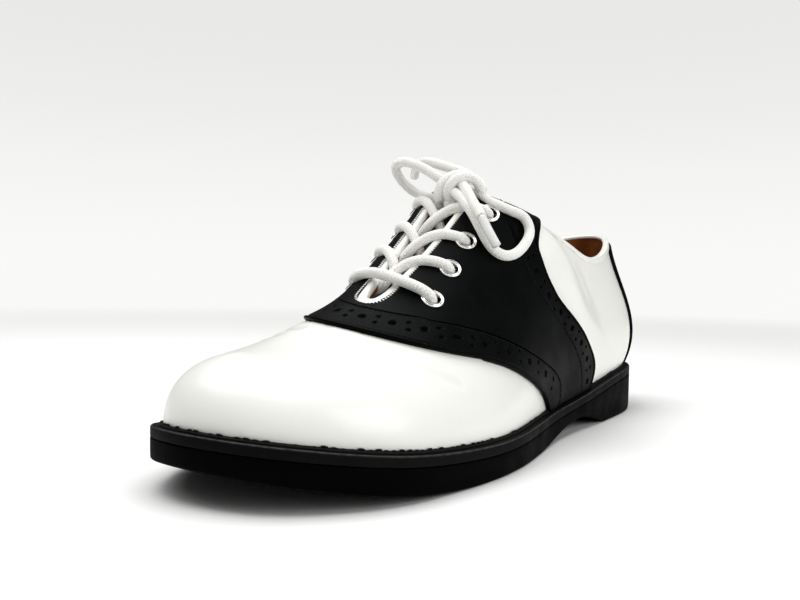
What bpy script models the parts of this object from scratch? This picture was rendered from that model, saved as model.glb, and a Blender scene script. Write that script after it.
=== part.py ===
"""Saddle derby shoe for the left foot, standing empty on its sole.

Sizes are in millimetres and the meshes are written in metres.  The toe points along -Y,
the wearer's left (lateral) side is +X and the floor is z = 0.
"""
import bmesh
import bpy
import numpy as np
from mathutils import Matrix

for item in list(bpy.data.objects):
    bpy.data.objects.remove(item, do_unlink=True)

# Driving dimensions
MM = 0.001
LENGTH = 280.0
BALL_WIDTH = 98.0
GAP = 0.3
OVERLAY_GAP = 0.45
WALL = 2.0
OVERLAY = 1.1
PANEL_TOP = OVERLAY_GAP + OVERLAY
BINDING = 0.8
BINDING_LEG = 5.0
RIM_SHOW = 2.0
GROOVE = 0.0012
LACE_RADIUS = 2.0
TIP_RADIUS = 1.4
TIP_SEAT = 0.1
WELT_SHOW = 3.8
WELT_THICK = 3.4
INSOLE_THICK = 2.5
TONGUE_THICK = 2.4
TONGUE_SIDE = 0.75
TONGUE_LEAD = 2
TONGUE_TAPER = 0.55
TONGUE_GAP = 0.5
TONGUE_RISE = 0.007
WELD = 0.02

# Sole outline: place from the heel as a share of the length, half widths as shares of the
# ball width
SOLE_OUTLINE = (
    # along, lateral, medial
    (0.030, 0.190, 0.185),
    (0.100, 0.308, 0.298),
    (0.200, 0.349, 0.330),
    (0.320, 0.371, 0.315),
    (0.450, 0.395, 0.300),
    (0.580, 0.472, 0.378),
    (0.680, 0.508, 0.455),
    (0.770, 0.494, 0.484),
    (0.860, 0.443, 0.456),
    (0.940, 0.303, 0.355),
    (0.985, 0.138, 0.228),
)
TOE_TIP_ASIDE = -6.5

# Top of the welt along the sole
WELT_TOP = (
    # along, height
    (0.00, 22.6),
    (0.10, 22.0),
    (0.25, 18.2),
    (0.40, 13.6),
    (0.55, 11.8),
    (0.70, 11.7),
    (0.85, 14.6),
    (1.00, 21.2),
)

# Underside of the sole: flat heel, arch, flat forefoot, toe spring
HEEL_FLAT_END = 0.245
FOREFOOT_FLAT = (0.535, 0.720)
ARCH_RISE = 6.0
TOE_SPRING = 11.2

# Ridge of the vamp and instep, and how far it tilts down to the lateral side
RIDGE = (
    # along, aside, height, tilt
    (0.90, -5.0, 42.3, -0.02),
    (0.86, -4.0, 44.0, -0.06),
    (0.80, -2.8, 49.4, -0.13),
    (0.74, -1.9, 56.7, -0.18),
    (0.68, -1.6, 66.4, -0.19),
    (0.62, -1.6, 78.4, -0.17),
    (0.56, -1.6, 92.2, -0.13),
    (0.50, -1.4, 106.6, -0.08),
    (0.42, -1.0, 121.5, 0.00),
)

# Where each section of the upper ends at the top, and how it bulges on the way there.
# foot runs along the feather line from the toe tip (0) to the heel back (1)
SECTIONS = (
    # foot, along, rise, reach, flare
    (0.00, 0.910, 0.44, 0.40, 0.5),
    (0.12, 0.893, 0.42, 0.40, 1.0),
    (0.22, 0.862, 0.38, 0.41, 1.5),
    (0.30, 0.820, 0.36, 0.43, 1.5),
    (0.36, 0.778, 0.33, 0.45, 1.0),
    (0.42, 0.728, 0.31, 0.47, 0.5),
    (0.48, 0.669, 0.30, 0.47, 0.5),
    (0.54, 0.604, 0.31, 0.45, 0.5),
    (0.62, 0.524, 0.33, 0.41, 0.5),
    (0.70, 0.440, 0.34, 0.35, 3.0),
    (0.80, 0.430, 0.34, 0.31, 11.0),
    (0.90, 0.430, 0.36, 0.32, 20.0),
    (1.00, 0.430, 0.38, 0.34, 15.0),
)
THROAT_START = 0.732
THROAT_HALF = 7.8
THROAT_TOP_HALF = 10.5
THROAT_LENGTH = 52.0
CORNER_FOOT = 0.62
CORNER_BLEND = 0.16
RIDGE_TURN = 0.30

# Topline from the top of the facing to the heel back
TOPLINE = (
    # foot, along, aside, height, lean
    (0.66, 0.462, 18.3, 95.8, 42.0),
    (0.70, 0.412, 22.3, 88.8, 58.0),
    (0.75, 0.335, 25.5, 80.5, 68.0),
    (0.80, 0.265, 26.5, 75.5, 74.0),
    (0.85, 0.195, 25.0, 77.0, 76.0),
    (0.90, 0.130, 20.5, 82.5, 76.0),
    (0.95, 0.070, 12.0, 87.5, 78.0),
    (1.00, 0.042, 0.0, 89.0, 80.0),
)

# Edges of the saddle and the seams of its punched bands, as foot values at each row
SADDLE = (
    # row, front edge, front seam, rear seam, rear edge
    (0.00, 0.548, 0.585, 0.664, 0.700),
    (0.12, 0.522, 0.590, 0.658, 0.711),
    (0.25, 0.480, 0.547, 0.632, 0.680),
    (0.40, 0.433, 0.499, 0.600, 0.631),
    (0.55, 0.378, 0.463, 0.584, 0.616),
    (0.70, 0.347, 0.430, 0.592, 0.630),
    (0.85, 0.336, 0.404, 0.616, 0.653),
    (1.00, 0.333, 0.394, 0.644, 0.676),
)
MEDIAL_BACK = 0.018
COUNTER_FOOT = 0.864

# Eyelets from the lowest pair to the highest
EYELETS = (
    # foot, row
    (0.454, 0.845),
    (0.506, 0.875),
    (0.550, 0.893),
    (0.601, 0.885),
)
EYELET_BORE = 2.3
EYELET_BARREL = 2.8
EYELET_FLANGE = 4.4
EYELET_HOLE = 3.15
EYELET_HIGH = 0.9
SEAT = 0.15

# Routes of the bow, in millimetres from the middle of the sole
KNOT = (4.0, -12.0, 102.0)
KNOT_TURNS = 2.0
KNOT_RADIUS = 4.2
KNOT_PITCH = 4.4
LOOP_LATERAL = (
    (11.5, -11.0, 101.0),
    (21.0, -6.5, 95.5),
    (27.0, 0.0, 93.0),
    (30.5, 2.8, 88.5),
    (31.6, 1.5, 82.0),
    (31.2, -6.0, 76.0),
    (29.5, -14.0, 73.7),
    (26.2, -18.8, 77.0),
    (21.8, -19.0, 84.0),
    (17.0, -21.0, 92.8),
    (13.2, -20.2, 97.8),
)
END_LATERAL = (
    (11.5, -14.0, 104.5),
    (17.6, -19.6, 99.6),
    (23.6, -23.2, 92.4),
)
TIP_LATERAL = (30.6, -24.4, 80.2)
LOOP_MEDIAL = (
    (-5.0, -9.0, 104.5),
    (-9.0, -15.0, 108.8),
    (-14.5, -23.0, 111.0),
    (-18.5, -26.0, 109.0),
    (-20.5, -21.0, 104.0),
    (-20.0, -12.0, 100.0),
    (-14.0, -8.0, 102.6),
    (-6.0, -9.5, 102.4),
)
END_MEDIAL = (
    (0.6, -5.5, 105.9),
    (-6.0, -1.4, 111.0),
    (-12.0, -3.5, 113.0),
    (-16.0, -4.7, 111.6),
)
TIP_MEDIAL = (-22.0, -7.0, 100.0)


def smooth(knots, values):
    """Cubic spline with continuous curvature through the values, as a function."""
    x = np.asarray(knots, float)
    y = np.asarray(values, float)
    step = np.diff(x)
    count = len(x)
    system = np.eye(count)
    right = np.zeros_like(y)
    for k in range(1, count - 1):
        system[k, k - 1:k + 2] = step[k - 1], 2 * (step[k - 1] + step[k]), step[k]
        right[k] = 6 * ((y[k + 1] - y[k]) / step[k] - (y[k] - y[k - 1]) / step[k - 1])
    bend = np.linalg.solve(system, right)

    def at(t):
        t = np.clip(np.asarray(t, float), x[0], x[-1])
        k = np.clip(np.searchsorted(x, t, side="right") - 1, 0, count - 2)
        h = step[k]
        a = (x[k + 1] - t) / h
        b = (t - x[k]) / h
        shape = (Ellipsis,) + (None,) * (y.ndim - 1)
        curve = (a ** 3 - a)[shape] * bend[k] + (b ** 3 - b)[shape] * bend[k + 1]
        return a[shape] * y[k] + b[shape] * y[k + 1] + curve * (h ** 2 / 6)[shape]

    return at


def column(table, name_index, key_index=0):
    rows = sorted(table)
    return smooth([r[key_index] for r in rows], [r[name_index] for r in rows])


def ease(t):
    t = np.clip(t, 0.0, 1.0)
    return t * t * (3 - 2 * t)


# Plan outline of the sole, split at the toe tip and the heel back
def half_outline(side, inset, samples=161):
    """Points from the toe tip to the heel back, evenly spaced along the inset outline."""
    lateral = [(LENGTH * (0.5 - s), BALL_WIDTH * lat) for s, lat, med in SOLE_OUTLINE]
    medial = [(LENGTH * (0.5 - s), -BALL_WIDTH * med) for s, lat, med in SOLE_OUTLINE]
    ring = [(LENGTH / 2, 0.0)] + lateral + [(-LENGTH / 2, TOE_TIP_ASIDE)] + medial[::-1]
    turns = np.array(ring + ring + ring + ring[:1])
    chords = np.sqrt(np.linalg.norm(np.diff(turns, axis=0), axis=1))
    place = np.concatenate([[0.0], np.cumsum(chords)])
    curve = smooth(place, turns)
    count = len(ring)
    heel = place[count]
    toe = place[count + len(lateral) + 1]
    end = place[2 * count]
    span = (toe, heel) if side > 0 else (toe, end)
    t = np.linspace(span[0], span[1], 4 * samples)
    points = curve(t)
    ahead = curve(t + 1e-3) - curve(t - 1e-3)
    normal = np.stack([-ahead[:, 1], ahead[:, 0]], axis=1)
    normal /= np.linalg.norm(normal, axis=1)[:, None]
    points = points + inset * normal
    run = np.concatenate([[0.0], np.cumsum(np.linalg.norm(np.diff(points, axis=0), axis=1))])
    even = np.linspace(0.0, run[-1], samples)
    return np.stack([np.interp(even, run, points[:, 1]), np.interp(even, run, points[:, 0])], 1)


def outline_curve(inset):
    """Plan outline as a function of foot, from -1 (heel back, medial) to 1 (heel back, lateral)."""
    lateral = half_outline(1, inset)
    medial = half_outline(-1, inset)
    ring = np.concatenate([medial[::-1], lateral[1:]])
    foot = np.linspace(-1.0, 1.0, len(ring))
    margin = 12
    knots = np.concatenate([foot[-margin - 1:-1] - 2, foot, foot[1:margin + 1] + 2])
    values = np.concatenate([ring[-margin - 1:-1], ring, ring[1:margin + 1]])
    thin = slice(None, None, 4)
    return smooth(knots[thin], values[thin])


welt_height = column(WELT_TOP, 1)
FEATHER = outline_curve(WELT_SHOW)


def share(y):
    """Place along the shoe, 0 at the heel back and 1 at the toe tip, of a Y coordinate."""
    return 0.5 - y / LENGTH


def tread_height(s):
    """Underside of the sole above the floor."""
    arch = np.clip((s - HEEL_FLAT_END) / (FOREFOOT_FLAT[0] - HEEL_FLAT_END), 0, 1)
    spring = np.clip((s - FOREFOOT_FLAT[1]) / (1 - FOREFOOT_FLAT[1]), 0, 1)
    return ARCH_RISE * np.sin(np.pi * arch ** 0.72) ** 2 + TOE_SPRING * spring ** 1.9


ridge_aside = column(RIDGE, 1)
ridge_height = column(RIDGE, 2)
ridge_tilt = column(RIDGE, 3)
top_along = column(SECTIONS, 1)
rise_share = column(SECTIONS, 2)
reach_share = column(SECTIONS, 3)
flare_size = column(SECTIONS, 4)


def throat_half(s, inset=0.0):
    """Half width of the throat: a round U and two legs that widen upwards."""
    round_size = THROAT_HALF + inset
    depth = (THROAT_START - s) * LENGTH + inset
    bend = np.clip(depth / round_size, 0, 1)
    leg = np.clip((depth - round_size) / THROAT_LENGTH, 0, 1.5)
    widening = (THROAT_TOP_HALF - THROAT_HALF) * leg
    return round_size * np.sqrt(1 - (1 - bend) ** 2) + widening


def crown_slopes(s):
    """Slopes of the instep along X and along Y on its ridge."""
    step = 0.004
    fall = (ridge_height(s + step) - ridge_height(s - step)) / (2 * step * LENGTH)
    return ridge_tilt(s), -fall


def topline_curve():
    """Collar edge from the lateral facing round the heel to the medial one."""
    lateral = [(f, s, x, h, lean) for f, s, x, h, lean in TOPLINE]
    medial = [(2 - f, s, -x, h, lean) for f, s, x, h, lean in TOPLINE[-2::-1]]
    corners = []
    for side in (1, -1):
        edge = throat_edge(side * CORNER_FOOT)
        point = front_section(side * CORNER_FOOT, edge)
        corners.append((share(point[1]), point[0], point[2], TOPLINE[0][4] / 2))
    knots = [CORNER_FOOT] + [r[0] for r in lateral + medial] + [2 - CORNER_FOOT]
    values = [corners[0]] + [r[1:] for r in lateral + medial] + [corners[1]]
    return smooth(knots, np.array(values, float))


def feather_point(q):
    plan = FEATHER(q)
    return np.concatenate([plan, (welt_height(share(plan[..., 1])) + GAP)[..., None]], -1)


def plan_way(low, top):
    """Unit vector in plan from the feather point towards the top point."""
    into = top - low
    into[..., 2] = 0
    return into / np.linalg.norm(into, axis=-1)[..., None]


def handles(low, top, aim, foot):
    """Two inner control points of a section that starts upright and ends along aim."""
    chord = np.linalg.norm(top - low, axis=-1)
    up = np.array([0.0, 0.0, 1.0])
    out = plan_way(low, top) * flare_size(foot)[..., None]
    first = low + up * (rise_share(foot) * chord)[..., None] - out
    return first, top - aim * (reach_share(foot) * chord)[..., None]


def cubic(a, b, c, d, t):
    t = t[..., None]
    return a * (1 - t) ** 3 + 3 * b * t * (1 - t) ** 2 + 3 * c * t ** 2 * (1 - t) + d * t ** 3


def front_controls(q):
    """Section of the front part, from the feather line to the ridge as if there were no throat."""
    foot = np.abs(q)
    low = feather_point(q)
    s = top_along(foot)
    top = np.stack([ridge_aside(s), LENGTH * (0.5 - s), ridge_height(s)], -1)
    aim = plan_way(low, top)
    turn = ease(foot / RIDGE_TURN)
    aim[..., 0] = aim[..., 0] * (1 - turn) - np.where(q < 0, -1, 1) * turn
    aim[..., 1] = aim[..., 1] * (1 - turn)
    slope_x, slope_y = crown_slopes(s)
    aim[..., 2] = aim[..., 0] * slope_x + aim[..., 1] * slope_y
    aim /= np.linalg.norm(aim, axis=-1)[..., None]
    first, second = handles(low, top, aim, foot)
    return low, first, second, top


def front_section(q, w):
    return cubic(*front_controls(np.asarray(q, float)), np.asarray(w, float))


def throat_edge(q, inset=0.0):
    """Where a front section meets the throat, as a share of its way to the ridge."""
    q = np.asarray(q, float)
    w = np.linspace(0.5, 1.0, 41)
    points = front_section(q[..., None] + 0 * w, np.broadcast_to(w, q.shape + w.shape))
    aside = np.abs(points[..., 0] - points[..., -1:, 0])
    half = throat_half(top_along(np.abs(q)), inset)[..., None]
    k = np.clip((aside > half).sum(axis=-1, keepdims=True), 1, len(w) - 1)
    far = np.take_along_axis(aside, k - 1, -1)
    near = np.take_along_axis(aside, k, -1)
    part = np.clip((far - half) / np.maximum(far - near, 1e-9), 0, 1)
    return (w[k - 1] + part * (w[1] - w[0]))[..., 0]


def cut_controls(a, b, c, d, t):
    """Control points of the stretch of a cubic from its start to t."""
    t = t[..., None]
    ab, bc, cd = a + (b - a) * t, b + (c - b) * t, c + (d - c) * t
    abc, bcd = ab + (bc - ab) * t, bc + (cd - bc) * t
    return a, ab, abc, abc + (bcd - abc) * t


TOPLINE_CURVE = topline_curve()


def upper_point(q, v):
    """Outer surface of the upper, v from the feather line (0) to the ridge or the edge (1)."""
    q, v = np.broadcast_arrays(np.asarray(q, float), np.asarray(v, float))
    q = (q + 1) % 2 - 1
    foot = np.abs(q)
    edge = throat_edge(np.sign(q) * np.minimum(foot, CORNER_FOOT))
    low, first, second, top = cut_controls(*front_controls(q), edge)
    line = TOPLINE_CURVE(np.where(q >= 0, foot, 2 - foot))
    back_top = np.stack([line[..., 1], LENGTH * (0.5 - line[..., 0]), line[..., 2]], -1)
    lean = np.radians(line[..., 3])[..., None]
    aim = plan_way(low, back_top) * np.cos(lean) + np.array([0.0, 0.0, 1.0]) * np.sin(lean)
    back_first, back_second = handles(low, back_top, aim, foot)
    is_back = (foot > CORNER_FOOT)[..., None]
    blend = ease((foot - CORNER_FOOT) / CORNER_BLEND)[..., None]
    first = first + (back_first - first) * blend
    second = np.where(is_back, back_top + (second - top) * (1 - blend)
                      + (back_second - back_top) * blend, second)
    return cubic(low, first, second, np.where(is_back, back_top, top), v)


def upper_normal(q, v, step=0.003):
    """Outward unit normal of the upper."""
    q, v = np.broadcast_arrays(np.asarray(q, float), np.asarray(v, float))
    along = upper_point(q + step, v) - upper_point(q - step, v)
    across = upper_point(q, np.clip(v + step, 0, 1)) - upper_point(q, np.clip(v - step, 0, 1))
    normal = np.cross(along, across)
    return normal / np.maximum(np.linalg.norm(normal, axis=-1), 1e-9)[..., None]


def ridge_normal(foot):
    """Outward normal on the ridge line, the same from both sides."""
    s = top_along(foot)
    slope_x, slope_y = crown_slopes(s)
    normal = np.stack([-slope_x, -slope_y, np.ones_like(slope_x)], -1)
    return normal / np.linalg.norm(normal, axis=-1)[..., None]


def material(name, colour, roughness, metallic=0.0):
    made = bpy.data.materials.new(name)
    made.use_nodes = True
    shader = made.node_tree.nodes["Principled BSDF"]
    shader.inputs["Base Color"].default_value = (*colour, 1.0)
    shader.inputs["Roughness"].default_value = roughness
    shader.inputs["Metallic"].default_value = metallic
    return made


WHITE = material("white_leather", (0.82, 0.82, 0.79), 0.35)
BLACK = material("black_leather", (0.018, 0.019, 0.021), 0.40)
RUBBER = material("black_rubber", (0.012, 0.012, 0.013), 0.55)
WELT = material("grey_rubber", (0.060, 0.060, 0.062), 0.50)
LINING = material("brown_leather", (0.22, 0.12, 0.07), 0.60)
NICKEL = material("nickel", (0.70, 0.70, 0.68), 0.25, 1.0)
COTTON = material("white_cotton", (0.80, 0.78, 0.72), 0.85)
CLEAR = material("clear_plastic", (0.75, 0.76, 0.75), 0.30)


def add_mesh(name, points, faces, finish, weld=0.0):
    """Object from points in millimetres, welded where asked, with its faces turned outwards."""
    mesh = bmesh.new()
    verts = [mesh.verts.new([size * MM for size in p]) for p in points]
    for face in faces:
        corners = list(dict.fromkeys(face))
        if len(corners) > 2:
            mesh.faces.new([verts[k] for k in corners])
    if weld:
        bmesh.ops.remove_doubles(mesh, verts=mesh.verts, dist=weld * MM)
    bmesh.ops.recalc_face_normals(mesh, faces=mesh.faces)
    if mesh.calc_volume(signed=True) < 0:
        bmesh.ops.reverse_faces(mesh, faces=mesh.faces)
    data = bpy.data.meshes.new(name)
    mesh.to_mesh(data)
    mesh.free()
    data.materials.append(finish)
    data.shade_smooth()
    data.set_sharp_from_angle(angle=0.7)
    thing = bpy.data.objects.new(name, data)
    bpy.context.collection.objects.link(thing)
    return thing


# Sole
SOLE_COUNT = 40


def layer(name, loops, finish):
    """Closed plate from loops of (inset, height function), listed from the top to the bottom."""
    feet = np.linspace(-1.0, 1.0, 2 * SOLE_COUNT + 1)[:-1]
    count = len(feet)
    points = []
    faces = []
    for inset, height in loops:
        plan = outline_curve(inset)(feet)
        z = height(share(plan[:, 1]))
        points += [(x, y, h) for (x, y), h in zip(plan, z)]
    for row in range(len(loops) - 1):
        for k in range(count):
            a = row * count + k
            b = row * count + (k + 1) % count
            faces.append((a, b, b + count, a + count))
    for base in (0, (len(loops) - 1) * count):
        for k in range(SOLE_COUNT):
            right = (base + (SOLE_COUNT + k) % count, base + (SOLE_COUNT + k + 1) % count)
            left = (base + SOLE_COUNT - k, base + SOLE_COUNT - k - 1)
            faces.append((right[0], right[1], left[1], left[0]))
    return add_mesh(name, points, faces, finish)


def sole_seat(s):
    return welt_height(s) - WELT_THICK - GAP


def outsole():
    def part_way(t):
        return lambda s: tread_height(s) * (1 - t) + sole_seat(s) * t

    loops = [
        (0.2, part_way(1.0)),
        (0.0, part_way(0.94)),
        (0.0, part_way(0.5)),
        (0.2, part_way(0.18)),
        (0.9, part_way(0.06)),
        (2.4, part_way(0.0)),
    ]
    layer("outsole", loops, RUBBER)


def welt():
    def below(depth):
        return lambda s: welt_height(s) - depth

    loops = [
        (0.9, below(0.0)),
        (0.2, below(0.4)),
        (0.0, below(1.0)),
        (0.0, below(WELT_THICK - 0.3)),
        (0.3, below(WELT_THICK)),
    ]
    layer("welt", loops, WELT)


def insole():
    inset = WELT_SHOW + WALL + 2 * GAP

    def above(height):
        return lambda s: welt_height(s) + GAP + height

    layer("insole", [(inset + 0.4, above(INSOLE_THICK)), (inset, above(INSOLE_THICK - 0.5)),
                     (inset, above(0.0))], LINING)


# Upper
def foot_at(s):
    """Foot value of the section that ends on the ridge at s."""
    feet = np.linspace(0.3, 0.6, 601)
    return float(np.interp(-s, -top_along(feet), feet))


THROAT_FOOT = foot_at(THROAT_START)
UPPER_FEET = np.concatenate([
    np.linspace(0.0, THROAT_FOOT, 19)[:-1],
    THROAT_FOOT + 0.036 * np.linspace(0.0, 1.0, 6)[:-1] ** 2,
    np.linspace(THROAT_FOOT + 0.036, CORNER_FOOT, 10)[:-1],
    np.linspace(CORNER_FOOT, CORNER_FOOT + 0.030, 4)[:-1],
    np.linspace(CORNER_FOOT + 0.030, 1.0, 15),
])
UPPER_ROWS = np.linspace(0.0, 1.0, 17)


def upper_grid(feet, rows, offset):
    """Points on the upper moved out by offset, for matching arrays of foot and row values."""
    feet, rows = np.broadcast_arrays(feet, rows)
    normal = upper_normal(feet, rows)
    on_ridge = (np.abs(feet) < THROAT_FOOT + 1e-6) & (rows > 1 - 1e-9)
    normal[on_ridge] = ridge_normal(np.abs(feet[on_ridge]))
    at_feather = rows < 1e-9
    normal[at_feather, 2] = 0
    normal /= np.linalg.norm(normal, axis=-1)[..., None]
    return upper_point(feet, rows) + offset * normal


def shell(name, sheets, finish, joined=0, ring=False):
    """Solid between the two grids of each sheet, with doubled points welded.

    Sheets join along their last row over the first columns, and in a ring also end to end.
    """
    points = []
    faces = []
    for outer, inner in sheets:
        columns, rows = outer.shape[:2]
        grid = np.arange(columns * rows).reshape(columns, rows) + len(points)
        deep = grid + columns * rows
        points.extend(outer.reshape(-1, 3))
        points.extend(inner.reshape(-1, 3))
        for i in range(columns - 1):
            for r in range(rows - 1):
                for side in (grid, deep):
                    faces.append((side[i, r], side[i + 1, r], side[i + 1, r + 1], side[i, r + 1]))
            for r in (0, -1):
                if r == 0 or i >= joined:
                    faces.append((grid[i, r], grid[i + 1, r], deep[i + 1, r], deep[i, r]))
        for i in () if ring else (0, -1):
            for r in range(rows - 1):
                faces.append((grid[i, r], grid[i, r + 1], deep[i, r + 1], deep[i, r]))
    return add_mesh(name, points, faces, finish, weld=WELD)


def upper(name, growth):
    """The wall of the upper, thicker by a growth on either side."""
    half = UPPER_FEET[:, None]
    in_front = int((UPPER_FEET < THROAT_FOOT + 1e-6).sum())
    sheets = []
    for side in (1, -1):
        sheets.append([upper_grid(side * half, UPPER_ROWS[None, :], offset)
                       for offset in (growth, -WALL - growth)])
    return shell(name, sheets, WHITE, joined=in_front - 1, ring=True)


def form_normal(q, w, step=0.003):
    """Outward normal of the front form, which has no throat in it."""
    along = front_section(q + step, w) - front_section(q - step, w)
    across = front_section(q, np.minimum(w + step, 1)) - front_section(q, w - step)
    normal = np.cross(along, across)
    normal = np.where((w > 1 - 1e-9)[..., None], ridge_normal(np.abs(q)), normal)
    return normal / np.linalg.norm(normal, axis=-1)[..., None]


def tongue():
    first = int((UPPER_FEET < THROAT_FOOT - 1e-6).sum()) - TONGUE_LEAD
    feet = UPPER_FEET[(np.arange(len(UPPER_FEET)) >= first) & (UPPER_FEET < CORNER_FOOT + 1e-6)]
    edge = throat_edge(feet)[:, None]
    taper = ease((feet - TONGUE_TAPER) / (CORNER_FOOT - TONGUE_TAPER))[:, None]
    low = (TONGUE_SIDE + (1 - TONGUE_SIDE) * taper) * edge
    ways = np.concatenate([low + (edge - low) * np.linspace(0, 1, 4),
                           edge + (1 - edge) * np.linspace(0, 1, 4)[1:]], axis=1)
    rise = np.array([0.25, 0.5, 0.7, 0.85, 0.94])
    narrow = np.sqrt(1 - rise ** 2)[:, None]
    feet = np.concatenate([feet, CORNER_FOOT + TONGUE_RISE * rise])
    ways = np.concatenate([ways, 1 - (1 - ways[-1:]) * narrow])
    sheet = []
    for depth in (WALL + TONGUE_GAP, WALL + TONGUE_GAP + TONGUE_THICK):
        halves = []
        for side in (1, -1):
            q = side * feet[:, None] + 0 * ways
            halves.append(front_section(q, ways) - depth * form_normal(q, ways))
        sheet.append(np.concatenate([halves[0], halves[1][:, -2::-1]], axis=1))
    return shell("tongue", [sheet], BLACK)


# Overlays on the upper
front_edge = column(SADDLE, 1)
front_seam = column(SADDLE, 2)
rear_seam = column(SADDLE, 3)
rear_edge = column(SADDLE, 4)
OVERLAY_ROWS = np.linspace(0.0, 1.0, 17)
EVEN_ROWS = 0.6
THIN_COLUMN = 0.0015


def row_below_top(q, distance):
    """Row of the upper that lies a distance below its top edge, for each foot value."""
    v = np.linspace(1.0, 0.6, 81)
    points = upper_point(q[:, None], v[None, :])
    steps = np.linalg.norm(np.diff(points, axis=1), axis=-1)
    run = np.cumsum(np.pad(steps, ((0, 0), (1, 0))), axis=1)
    return np.array([np.interp(distance, way, v) for way in run])


def saddle_top(q):
    """Row where the saddle stops, a rim's width short of the throat or the topline."""
    held = np.sign(q) * np.minimum(np.abs(q), CORNER_FOOT)
    front = throat_edge(held, RIM_SHOW) / throat_edge(held)
    return np.where(np.abs(q) <= CORNER_FOOT, front, row_below_top(q, RIM_SHOW))


def front_line(line, rows, side):
    """Foot values of a line at the saddle's front; the medial one runs further back."""
    return line(rows) + (MEDIAL_BACK * ease((0.95 - rows) / 0.40) if side < 0 else 0.0)


def rows_to(limit):
    """Rows of an overlay that end at a limit for each column, even on the lower flank."""
    high = np.maximum(OVERLAY_ROWS - EVEN_ROWS, 0) / (1 - EVEN_ROWS)
    return np.minimum(OVERLAY_ROWS, EVEN_ROWS) + high * (limit[:, None] - EVEN_ROWS)


def overlay_sheet(feet, rows):
    return [upper_grid(feet, rows, height) for height in (PANEL_TOP, OVERLAY_GAP)]


def saddle():
    start = front_seam(1.0) + GROOVE
    end = rear_seam(1.0) - GROOVE
    own_foot = foot_at(THROAT_START + RIM_SHOW / LENGTH)
    bend = own_foot + 0.040 * np.linspace(0, 1, 4) ** 2
    tops = np.concatenate([[start], bend[:-1], np.linspace(bend[-1], CORNER_FOOT, 10),
                           np.linspace(CORNER_FOOT, end, 4)[1:]])
    sheets = []
    for side in (1, -1):
        limit = np.where(tops < own_foot + 1e-6, 1.0, saddle_top(side * tops))
        front = front_line(front_seam, limit, side) + GROOVE
        part = (tops - front) / (rear_seam(limit) - GROOVE - front)
        part[-1] = 1.0
        for k in range(1, len(part)):
            part[k] = max(part[k], part[k - 1] + THIN_COLUMN)
        rows = rows_to(limit)
        front = front_line(front_seam, rows, side) + GROOVE
        feet = front + (rear_seam(rows) - GROOVE - front) * part[:, None]
        sheets.append(overlay_sheet(side * feet, rows))
    return shell("saddle", sheets, BLACK, joined=1)


def band_front():
    part = np.linspace(0, 1, 4)[:, None]
    halves = []
    for side in (1, -1):
        edge = front_line(front_edge, OVERLAY_ROWS, side)
        seam = front_line(front_seam, OVERLAY_ROWS, side)
        halves.append(overlay_sheet(side * (edge + (seam - edge) * part), OVERLAY_ROWS))
    sheet = [np.concatenate([near, far[:, -2::-1]], axis=1) for near, far in zip(*halves)]
    return shell("band_front", [sheet], BLACK)


def band_rear(name, side):
    part = np.linspace(0, 1, 4)[:, None]
    tops = rear_seam(1.0) + (rear_edge(1.0) - rear_seam(1.0)) * part[:, 0]
    rows = rows_to(saddle_top(side * tops))
    feet = rear_seam(rows) + (rear_edge(rows) - rear_seam(rows)) * part
    return shell(name, [overlay_sheet(side * feet, rows)], BLACK)


def round_heel(first):
    """Foot values of the upper's own columns from first round the heel to the other side."""
    half = UPPER_FEET[UPPER_FEET > first + 0.004]
    half = np.concatenate([[first], half])
    return np.concatenate([half, 2 - half[-2::-1]])


def heel_counter():
    feet = round_heel(COUNTER_FOOT)
    limit = row_below_top(feet, BINDING_LEG + 2 * GAP)[:, None]
    rows = np.linspace(0, 1, 12)
    return shell("heel_counter", [overlay_sheet(feet[:, None], rows * limit)], BLACK)


def collar_binding():
    feet = round_heel(rear_edge(1.0) + 2 * GROOVE)
    legs = [row_below_top(feet, BINDING_LEG), row_below_top(feet, BINDING_LEG / 2)]
    top = upper_point(feet, 1.0)
    normal = upper_normal(feet, 1.0)
    rising = top - upper_point(feet, 0.98)
    rising /= np.linalg.norm(rising, axis=-1)[:, None]
    sheet = []
    for height in (OVERLAY_GAP + BINDING, OVERLAY_GAP):
        turns = np.radians([0, 45, 90, 135, 180])
        cap = [top - WALL / 2 * normal + (WALL / 2 + height) * np.cos(a) * normal
               + height * np.sin(a) * rising for a in turns]
        outside = [upper_grid(feet, leg, height) for leg in legs]
        inside = [upper_grid(feet, leg, -WALL - height) for leg in legs[::-1]]
        sheet.append(np.stack(outside + cap + inside, axis=1))
    return shell("collar_binding", [sheet], WHITE)


# Eyelets
def eyelet_frame(k, side):
    foot, row = EYELETS[k]
    return upper_point(side * foot, row), upper_normal(side * foot, row)


def turned(name, profile, centre, axis, finish, segments=14):
    """Ring turned about an axis from a closed profile of (radius, height) points."""
    aside = np.cross(axis, (0.0, 1.0, 0.0))
    aside /= np.linalg.norm(aside)
    ahead = np.cross(axis, aside)
    count = len(profile)
    points = []
    faces = []
    for k in range(segments):
        angle = 2 * np.pi * k / segments
        out = np.cos(angle) * aside + np.sin(angle) * ahead
        points += [centre + radius * out + height * axis for radius, height in profile]
        for i in range(count):
            j = (i + 1) % count
            m = (k + 1) % segments * count
            faces.append((k * count + i, k * count + j, m + j, m + i))
    return add_mesh(name, points, faces, finish)


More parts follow.
